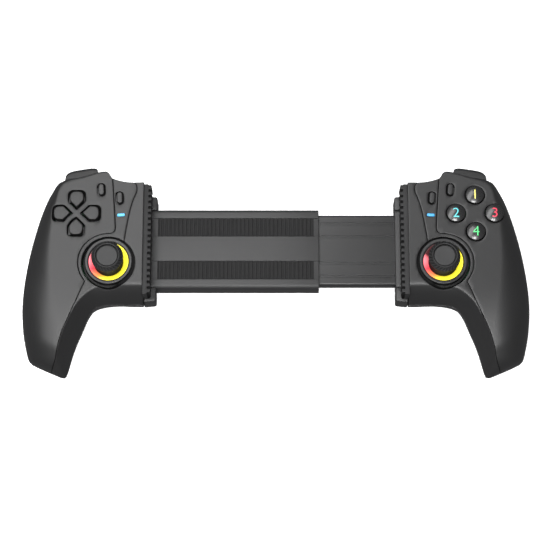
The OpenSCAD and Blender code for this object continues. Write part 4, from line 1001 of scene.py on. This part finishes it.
def stick_solids():
    """Bezel, light ring and cap about the stick's axis. The second material is for what lies below the
    bezel's top, and for the cap's groove, the valleys of its knurl and its underside. Below the bezel's top
    it is painted shade in the well. On the cap it is the side's dark rubber together with painted shade in
    the groove, the valleys and underneath, while the knurl's ridges keep the top's lighter rubber as painted
    highlights."""
    inner, outer = GLOW_R + 0.15, BEZEL_R - 0.2
    bezel = lathe(soften([
        [inner, BASE_Z], [outer, BASE_Z], [outer, FLANGE_LOW], [FLANGE_R, FLANGE_LOW], [FLANGE_R, FLANGE_TOP],
        [BEZEL_R, FLANGE_TOP], [BEZEL_R, BEZEL_TOP - 0.3], [BEZEL_R - 0.35, BEZEL_TOP],
        [GLOW_R + 0.6, BEZEL_TOP - 0.05], [inner, BEZEL_TOP - 0.5]], 0.3, 4),
        second=lambda r, z, g: z < BEZEL_TOP - 0.7)
    ring = lathe(soften([
        [RING_IN, BASE_Z], [GLOW_R, BASE_Z], [GLOW_R, BEZEL_TOP - 0.7], [GLOW_R - 0.5, BEZEL_TOP - 0.8],
        [LIP_R, LIP_Z + 0.9], [LIP_R, LIP_Z], [RING_IN, LIP_Z - 0.4]], 0.2, 3), 128)
    top = soften([
        [0, CAP_TOP - 1.15], [3.0, CAP_TOP - 1.1], [5.9, CAP_TOP - 0.95], [6.1, CAP_TOP - 1.75],
        [6.5, CAP_TOP - 1.75], [6.65, CAP_TOP - 0.2], [7.0, CAP_TOP], [RIM_R - 0.1, CAP_TOP - 0.3]], 0.4, 5,
        closed=False)
    cone = np.linspace(0, 1, 13)
    side = np.column_stack([mix(RIM_R, CAP_R, cone), mix(CAP_TOP - 0.35, CAP_TOP - SIDE_DROP, cone)])
    low = soften([
        [CAP_R, CAP_LOW + 1.1], [CAP_R - 0.9, CAP_LOW], [NECK_R + 0.3, CAP_LOW], [NECK_R, CAP_LOW - 0.5],
        [NECK_R, 36.8], [3.86, 35.95]], 0.5, 4, closed=False)
    skirt = [ball_line(DOME_R, 26, 89, 18), ball_line(DOME_R - SKIRT_WALL, 89, 12, 16)]
    socket = [[SOCKET_R, PIVOT_Z + 7.5], [SOCKET_R, CAP_LOW + 2.4], [0, CAP_LOW + 2.4]]
    profile = np.concatenate([top, side, low, *skirt, socket])
    first, last = len(top), len(top) + len(side)

    def ridge(f, g):
        return math.sin(0.5 * KNURLS * g + 0.9 * np.pi * f) ** 2

    def knurl(k, g):
        if not first <= k < last:
            return 0.0
        f = (k - first) / (last - first - 1)
        edge = min(1.0, 4 * min(f, 1 - f))
        return edge * (0.4 * ridge(f, g) - 0.38)

    # Valleys of the knurl, the groove and the underside take the dark material as painted shade; the ridges
    # stay lighter as painted highlights
    def dark(r, z, g):
        f = (r - RIM_R) / (CAP_R - RIM_R)
        if 0 < f < 1 and z > CAP_TOP - SIDE_DROP:
            return ridge(f, g) < 0.5
        return 6.0 < r < 6.6 or r > RIM_R - 0.2 or z < CAP_LOW + 1

    return bezel, ring, lathe(profile, KNURLS * 12, knurl, dark)


BEZEL, RING, CAP = (moved(s, [*STICK, 0]) for s in stick_solids())
for half, side in SIDES.items():
    # The bezel's faces below its top take the moat material, painted shade in the well
    half_piece(half, "bezel", BEZEL, "bezel", "trim", "half", "stick_bezel", second="moat")
    glow = glow_ring(f"{half}_ring_glow", to_frame(side, [[*STICK, 0]])[0])
    half_piece(half, "ring", RING, glow, "light_ring", "half", "light_ring", sharp=50)
    half_piece(half, "cap", CAP, "cap_rubber", "rubber", "cap", "stick_cap", sharp=40, second="cap_side")

# Keys
LUG_FOOT, STEM_FOOT, SMALL_FOOT = 31.3, 25.2, 25.8
LUG_OUT, LUG_W, LUG_T, STEM_R = 0.9, 4.4, 1.3, 2.2
RIM_OUT, RIM_LOW, RIM_TOP = 0.9, 32.4, 33.7
KEY_TOP, KEY_MIDDLE = FACE_Z + KEY_RISE, CROSS_IN + CROSS_W / 2
DOME_STEP = KEY_MIDDLE + 1.3
BUTTON_TOP, DOME = KEY_TOP + 0.7, 13.0


def stem(r, low, high):
    return lathe(soften([[0, low], [r, low], [r, high], [0, high]], 0.2, 3, closed=False), 32)


def head_levels(low, top, edge):
    """Levels of a key head with a rounded upper edge."""
    return [(low, 0.0)] + [(top - edge + s, edge - c) for c, s in arc_points(edge, 0, 90, 7)]


def large_key(head, half_width, lug_v, stem_v):
    """A key head with the bar of lugs that holds it below the face, and its stem."""
    bar = box_outline(2 * (half_width + LUG_OUT), LUG_W, 0.3) + [0, lug_v]
    return join(head, prism(bar, [(LUG_FOOT - 0.02, 0), (LUG_FOOT + LUG_T, 0)]),
                moved(stem(STEM_R, STEM_FOOT, LUG_FOOT + 0.1), [0, stem_v, 0]))


def small_key(outline, rim, top, edge, stem_r):
    """A key head with the rim that holds it below the face, and its stem."""
    return join(prism(outline, head_levels(RIM_LOW, top, edge)),
                prism(rim, [(RIM_LOW - 0.02, 0), (RIM_TOP, 0)]), stem(stem_r, SMALL_FOOT, RIM_LOW + 0.1))


def direction_key():
    rings = []
    for z, inset in head_levels(LUG_FOOT, KEY_TOP, 0.5):
        p = shield(-KEY_GAP - inset)
        rings.append(np.column_stack([p, np.full(len(p), z)]))
    return large_key(stack(rings), CROSS_W / 2, KEY_MIDDLE + 2.8, DOME_STEP)


def dome_z(r):
    return BUTTON_TOP - DOME + np.sqrt(DOME * DOME - r * r)


def face_button():
    r = np.linspace(0, FACE_R - 0.45, 14)
    crown = np.column_stack([r, dome_z(r)])
    edge = [crown[-1], [FACE_R, dome_z(FACE_R - 0.1) - 0.05], [FACE_R, FACE_Z - 0.8]]
    shoulder = soften(edge, 0.6, 6, closed=False)
    profile = np.concatenate([crown[:-1], shoulder, [[FACE_R, LUG_FOOT], [0, LUG_FOOT]]])
    return large_key(lathe(profile), FACE_R + BUTTON_GAP, 0, DOME_STEP - FACE_STEP)


def print_on(flat, height):
    """Thin raised print from a flat mesh of (verts, faces), laid on a height function of plan points."""
    bm = bmesh.new()
    vs = [bm.verts.new((p[0], p[1], 0)) for p in flat[0]]
    for f in flat[1]:
        bm.faces.new([vs[i] for i in f])
    bmesh.ops.triangulate(bm, faces=bm.faces)
    for _ in range(3):
        long = [e for e in bm.edges if e.calc_length() > 0.5]
        if not long:
            break
        bmesh.ops.subdivide_edges(bm, edges=long, cuts=1)
        bmesh.ops.triangulate(bm, faces=bm.faces)
    bm.verts.index_update()
    top = np.array([[v.co.x, v.co.y, height(v.co.x, v.co.y) + 0.03] for v in bm.verts])
    low = top - [0, 0, 0.15]
    n = len(top)
    faces = [tuple(v.index for v in f.verts) for f in bm.faces]
    sides = [(e.verts[0].index, e.verts[1].index, n + e.verts[1].index, n + e.verts[0].index)
             for e in bm.edges if len(e.link_faces) == 1]
    bm.free()
    return np.concatenate([top, low]), faces + [tuple(n + i for i in f[::-1]) for f in faces] + sides


def digit(text, size):
    """Flat outline mesh of a numeral, centred on its own box."""
    curve = bpy.data.curves.new("digit", "FONT")
    curve.body = text
    curve.size = size
    curve.resolution_u = 6
    curve.offset = -0.06
    obj = bpy.data.objects.new("digit", curve)
    bpy.context.scene.collection.objects.link(obj)
    mesh = bpy.data.meshes.new_from_object(obj.evaluated_get(bpy.context.evaluated_depsgraph_get()))
    points = np.array([list(v.co)[:2] for v in mesh.vertices])
    faces = [tuple(p.vertices) for p in mesh.polygons]
    bpy.data.objects.remove(obj)
    bpy.data.curves.remove(curve)
    bpy.data.meshes.remove(mesh)
    return points - (points.min(0) + points.max(0)) / 2, faces


CROSS = direction_key()
for k, name in enumerate(["up", "right", "down", "left"]):
    made = placed(CROSS, k * math.pi / 2, CLUSTER)
    node = "direction_key_" + name
    piece(node + "_skin", on_side(-1, made), "direction_keys", "direction_keys", node, node)

BUTTON, DIGIT_SIZE = face_button(), 8.2
DIGITS = {"1": (0, tone(250, 240, 130)), "2": (90, tone(104, 214, 222)), "3": (-90, tone(236, 70, 92)),
          "4": (180, tone(98, 224, 136))}
for number, (turn, colour) in DIGITS.items():
    at = CLUSTER + turned([[0, FACE_STEP]], math.radians(turn))[0]
    made = placed(BUTTON, math.radians(turn), at)
    node = "face_button_" + number
    piece(node + "_skin", on_side(1, made), "gloss_keys", "gloss_keys", node, node)
    mark = print_on(digit(number, DIGIT_SIZE), lambda x, y: dome_z(math.hypot(x, y)))
    ink = lit("digit_ink_" + number, colour, 0.35)
    piece(node + "_digit", on_side(1, moved(mark, [*at, 0])), ink, "gloss_keys", node)

OVAL = small_key(oval(OVAL_L - 2 * OVAL_GAP, OVAL_W - 2 * OVAL_GAP), oval(OVAL_L + RIM_OUT, OVAL_W + RIM_OUT),
                 KEY_TOP, 0.6, 1.3)
LIT = small_key(box_outline(LIT_L - 0.4, LIT_W - 0.4, 0.4),
                box_outline(LIT_L + RIM_OUT, LIT_W + RIM_OUT, 0.4), FACE_Z + 0.3, 0.2, 0.8)
for half, name, at in [("left", "minus_key", MINUS), ("left", "turbo_key", TURBO),
                       ("right", "plus_key", MINUS), ("right", "macro_key", TURBO)]:
    made = placed(OVAL, OVAL_TILT, at)
    piece(name + "_skin", on_side(SIDES[half], made), "oval_keys", "oval_keys", name, name)
for half in SIDES:
    made = placed(LIT, OVAL_TILT, LIT_AT)
    half_piece(half, "lit_key_skin", made, "lit_" + half, "lit_key", "lit_key", "lit_key")


# Shoulder: bumpers and triggers
def bumper_edge(f):
    return np.array([mix(BUMPER_U, 51.8, f), mix(JAW_UP + 6.4, JAW_UP + 1.8, f)])


def facing_out(outline):
    """Makes a plan outline run counter-clockwise."""
    return outline if area(outline) > 0 else outline[::-1]


BUMPER_LINE = np.array([[31.5, 44.4], [32.0, 45.6], [33.4, 46.35], [36.5, 46.35], [42.2, 45.55], [46.4, 44.7],
                        [48.9, 43.4], [50.1, 41.7], [50.4, 39.5]])
ARM_LOW, ARM_TOP, PIN_R, BOSS_R = 26.6, 30.6, 1.3, 2.2


def bumper_solid():
    """Bar lofted along its outer line, with rounded outer edges, and the arm to its pin."""
    line = spline(BUMPER_LINE, np.linspace(0, len(BUMPER_LINE) - 1, 65))
    first, last = BUMPER_LINE[0], BUMPER_LINE[-1]
    low, high = BUMPER_Z + 0.1, BUMPER_Z + BUMPER_H - 0.05
    rings = []
    for u, v in line:
        inner = mix(first[1] - 1.9, last[1] - 1.4, (u - first[0]) / (last[0] - first[0]))
        r = min(2.6, 0.45 * (v - inner))
        upper = arc_points(r, 0, 90, 9) + [v - r, high - r]
        lower = arc_points(0.5 * r, -90, 0, 9) + [v - 0.5 * r, low + 0.5 * r]
        edge = np.concatenate([[[inner, low]], lower, upper, [[inner, high]]])
        rings.append(np.column_stack([np.full(len(edge), u), edge]))
    pin, elbow = np.array([27.0, JAW_UP - 0.5]), bumper_edge(0.4)
    arm = facing_out(np.array([pin - [0, BOSS_R], pin + [0, BOSS_R], bumper_edge(0) + [1.8, -3.2],
                               elbow - [0, 0.2], elbow - [0, 2.6]]))
    wall = [[PIN_R, ARM_LOW], [BOSS_R, ARM_LOW], [BOSS_R, ARM_TOP], [PIN_R, ARM_TOP]]
    boss = moved(lathe(soften(wall, 0.2, 3), 40), [*pin, 0])
    return join(stack(rings), prism(soften(arm, 0.6, 3), [(ARM_LOW, 0), (ARM_TOP, 0)]), boss)


def trigger_solid():
    """Trigger profile in (v, z) about its pin, drawn along u, with a slot round the pin for the spring."""
    hub = arc_points(3, 57, 293, 30)
    lip = 12.1
    line = [(3.4, -6), (5.4, -10.6), (lip - 2.6, -14.6), (lip - 0.6, -14.6), (lip, -13), (lip - 0.7, -9),
            (lip - 1.4, -4), (lip - 1.6, 1), (lip - 3.6, 3.4), (3, 3.4)]
    full = facing_out(np.concatenate([hub, soften([hub[-1], *line, hub[0]], 2.2, 6, closed=False)[1:-1]]))
    lever = facing_out(soften([*line[:-1], (4.2, 3.4), (4.2, -4.2), (2.8, -4.2)], 1.4, 6))
    half, slot = TRIGGER_W / 2, 2.4
    outer = [(-half, 0.7), (0.12 - half, 0.3), (0.4 - half, 0.08), (0.8 - half, 0.0), (-slot, 0.0)]
    middle = [(-slot - 0.1, 0.03), (slot + 0.1, 0.03)]
    slices = [(full, outer), (lever, middle), (full, [(-x, inset) for x, inset in outer[::-1]])]
    pin = (TRIGGER_U, TRIGGER_V, TRIGGER_Z)
    return join(*[stack(layers(outline, levels, (2, 0, 1), pin)) for outline, levels in slices])


SHOULDER = {"bumper": bumper_solid(), "trigger": trigger_solid()}
for half in SIDES:
    for name, made in SHOULDER.items():
        half_piece(half, name + "_skin", made, "bumper", "shell_dark", name, name)

# Bridge
SLEEVE_W, SLEEVE_T, SLEEVE_WALL, LEDGE, BRIDGE_IN = 48.0, 12.0, 2.3, 2.8, 7.0
SLEEVE_FROM, SLEEVE_TO = -BAY / 2 - BRIDGE_IN, -BAY / 2 + 96.7
SLEEVE_MID, SLEEVE_TOP = JAW_BACK + SLEEVE_T / 2, JAW_BACK + SLEEVE_T
SLIDER_FROM, SLIDER_W, SLIDER_T, SLIDER_Z = -30.2, 42.8, 6.8, 14.6
STRIP_V, STRIP_W, STRIP_DEEP = 13.0, 11.0, 0.7


def beam(outline, levels, z):
    """Rings along X of a (v, z) outline, from (x, inset) levels."""
    return layers(outline, levels, (2, 0, 1), (0, 0, z))


def bar(outline, x0, x1, r, z):
    """Solid along X with rounded ends."""
    curve = [(r - s, r - c) for c, s in arc_points(r, 0, 90, 5)]
    first = [(x0 + x, inset) for x, inset in curve[::-1]]
    return stack(beam(outline, first + [(x1 - x, inset) for x, inset in curve], z))


def grooved(w, t, r, grooves):
    """Rounded (v, z) outline of a beam with grooves along its upper side: (middle, width, depth)."""
    x, y = w / 2, t / 2
    line = [[-x, -y], [x, -y], [x, y]]
    for middle, width, depth in sorted(grooves, reverse=True):
        one, two = middle + width / 2, middle - width / 2
        line += [[one, y], [one, y - depth], [two, y - depth], [two, y]]
    line.append([-x, y])
    radii = [r, r, r] + [0.15] * (len(line) - 4) + [r]
    out = []
    for k, radius in enumerate(radii):
        three = [line[k - 1], line[k], line[(k + 1) % len(line)]]
        out += list(soften(three, radius * 1.6, 6, closed=False)[1:-1])
    return np.array(out)


def sleeve_solid():
    outer = grooved(SLEEVE_W, SLEEVE_T - 0.06, 1.6, [(v, STRIP_W, STRIP_DEEP) for v in (-STRIP_V, STRIP_V)])
    room = box_outline(SLEEVE_W - 2 * SLEEVE_WALL, SLEEVE_T - 2 * SLEEVE_WALL, 0.8, len(outer) // 4)
    spare = len(outer) - len(room)
    room = np.concatenate([room, mix(room[-1], room[0], (np.arange(spare) + 1)[:, None] / (spare + 1))])
    start = int(np.argmin(np.linalg.norm(outer - room[0] * 1.2, axis=1)))
    outer = np.roll(outer, -start, 0)
    lip = [(0, 0.3), (0.15, 0.08), (0.5, 0)]
    first = [(SLEEVE_FROM + x, inset) for x, inset in lip]
    last = [(SLEEVE_TO - x, inset) for x, inset in lip[::-1]]
    inner = [(SLEEVE_TO, -0.3), (SLEEVE_TO - 0.4, 0), (SLEEVE_FROM + SLEEVE_WALL, 0)]
    return stack(beam(outer, [*first, (0, 0), *last], SLEEVE_MID) + beam(room, inner, SLEEVE_MID))


def strip_solid(v):
    """Rubber strip in the sleeve's upper side, with a row of cross ribs."""
    base, low, top = SLEEVE_TOP - STRIP_DEEP - 0.1, SLEEVE_TOP - 0.35, SLEEVE_TOP
    x0, x1 = -BAY / 2 + LEDGE + 0.5, SLEEVE_TO - 3.0
    pitch, rib, margin = 2.4, 1.3, 0.8
    line = [[x0, base], [x1, base], [x1, low]]
    for k in range(int((x1 - x0 - 2 * margin) // pitch) - 1, -1, -1):
        x = x0 + margin + k * pitch
        line += [[x + rib + 0.2, low], [x + rib, top], [x, top], [x - 0.2, low]]
    line.append([x0, low])
    half = STRIP_W / 2 - 0.15
    return stack(layers(soften(line, 0.12, 3), [(half, 0), (-half, 0)], (0, 2, 1), (0, v, 0)))


def foot_solid(side):
    """Wide end of the bridge along a jaw, in two wings with the slider's channel between them."""
    x0, x1 = BAY / 2 - LEDGE, BAY / 2 + JAW_U - 0.15
    room, wide = SLEEVE_W / 2 - 0.4, JAW_DOWN - 1.3
    low, top = JAW_BACK, SLEEVE_TOP
    levels = [(low, 0.5), (low + 0.15, 0.15), (low + 0.5, 0), (top - 0.6, 0), (top - 0.2, 0.18), (top, 0.6)]
    wings = []
    for k in (-1, 1):
        plan = [[x0, k * room], [x1, k * room], [x1, k * wide], [x0, k * (wide - 0.8)]]
        wings.append(prism(facing_out(soften(plan, 1.2, 5)), levels))
    verts, faces = join(*wings)
    return verts * [side, 1, 1], faces


SLIDER = bar(grooved(SLIDER_W, SLIDER_T, 1.0, [(v, 1.4, 0.6) for v in (-16, -8, 8, 16)]),
             SLIDER_FROM, BAY / 2, 0.2, SLIDER_Z + SLIDER_T / 2)
BLOCK = bar(box_outline(SLEEVE_W - 0.1, SLEEVE_T - 0.06, 1.6, 8),
            BAY / 2 - LEDGE + 0.05, BAY / 2 + BRIDGE_IN, 0.5, SLEEVE_MID)
piece("sleeve_skin", on_bay(sleeve_solid()), "bridge", "bridge", "left_half", "bridge_sleeve")
piece("sleeve_foot", on_bay(foot_solid(-1)), "bridge", "bridge", "left_half")
for name, v in {"lower": -STRIP_V, "upper": STRIP_V}.items():
    piece(f"sleeve_strip_{name}", on_bay(strip_solid(v)), "strip", "rubber", "left_half")
piece("slider_skin", on_bay(SLIDER), "slider", "trim", "right_half", "bridge_slider")
piece("slider_block", on_bay(BLOCK), "bridge", "bridge", "right_half")
piece("slider_foot", on_bay(foot_solid(1)), "bridge", "bridge", "right_half")

# Finish of the solids that stay as they are
LOOKS = {"shell_screws": "steel", "hinge_pins": "steel", "trigger_spring": "spring", "circuit_board": "board",
         "key_mat": "key_mat", "shoulder_frame": "inner_plastic", "stick_frame": "steel",
         "stick_yoke": "inner_plastic", "stick_rocker": "inner_plastic", "stick_shaft": "steel"}
SOLO = {"battery": "battery", "charging_port": "steel", "return_springs": "spring", "ribbon_cable": "ribbon"}
for name, obj in NODES.items():
    look = SOLO.get(name) or LOOKS.get(name.split("_", 1)[1])
    if look:
        obj.data.materials.clear()
        obj.data.materials.append(MATERIALS[look])

# Floor, light and camera
floor_mesh = bpy.data.meshes.new("floor")
floor_mesh.from_pydata([(-4, -4, 0), (4, -4, 0), (4, 4, 0), (-4, 4, 0)], [], [(0, 1, 2, 3)])
floor_mesh.materials.append(lit("floor_paper", (0.9, 0.9, 0.9), 0.85))
floor = bpy.data.objects.new("floor", floor_mesh)
floor.location.z = -0.0005
floor.visible_diffuse = False
floor.visible_glossy = False
bpy.context.scene.collection.objects.link(floor)

world = bpy.data.worlds.new("studio")
world.use_nodes = True
tree = world.node_tree
where = add(tree, "TexCoord", {}, {})
height = add(tree, "SeparateXYZ", {}, {"Vector": where.outputs["Generated"]})
dome = ramp(tree, height.outputs["Z"], [
    (0.0, even(188)), (0.35, even(150)), (0.7, even(120)), (1.0, even(190))])
feed(tree, tree.nodes["Background"], {"Strength": 0.5}, {"Color": dome})
bpy.context.scene.world = world


def area_light(name, at, target, size, power):
    light = bpy.data.lights.new(name, "AREA")
    light.shape = "RECTANGLE"
    light.size, light.size_y = size
    light.energy = power
    obj = bpy.data.objects.new(name, light)
    obj.location = at
    obj.rotation_euler = (Vector(target) - Vector(at)).to_track_quat("-Z", "Y").to_euler()
    bpy.context.scene.collection.objects.link(obj)


area_light("top_box", (-0.36, 0.22, 1.15), (0, 0, 0), (1.6, 0.45), 15)
area_light("low_box", (0.03, -0.42, 1.15), (0, 0, 0), (0.42, 0.26), 11)
area_light("front_strip", (0, -1.0, 0.45), (0, 0, 0.02), (1.4, 0.05), 2.2)

TARGET = Vector((-0.0005, -0.00572, 0.036))
ELEVATION, DISTANCE = math.radians(73), 1.10
# Focal length and frame in pixels, width of the sensor in millimetres
FOCAL_PX, FRAME_PX, SENSOR = 1930, 550, 36
camera = bpy.data.cameras.new("camera")
camera.lens = FOCAL_PX / FRAME_PX * SENSOR
camera.sensor_width = SENSOR
eye = bpy.data.objects.new("camera", camera)
eye.location = TARGET + DISTANCE * Vector((0, -math.cos(ELEVATION), math.sin(ELEVATION)))
eye.rotation_euler = (math.pi / 2 - ELEVATION, 0, 0)
bpy.context.scene.collection.objects.link(eye)
bpy.context.scene.camera = eye
bpy.context.scene.view_settings.view_transform = "Standard"
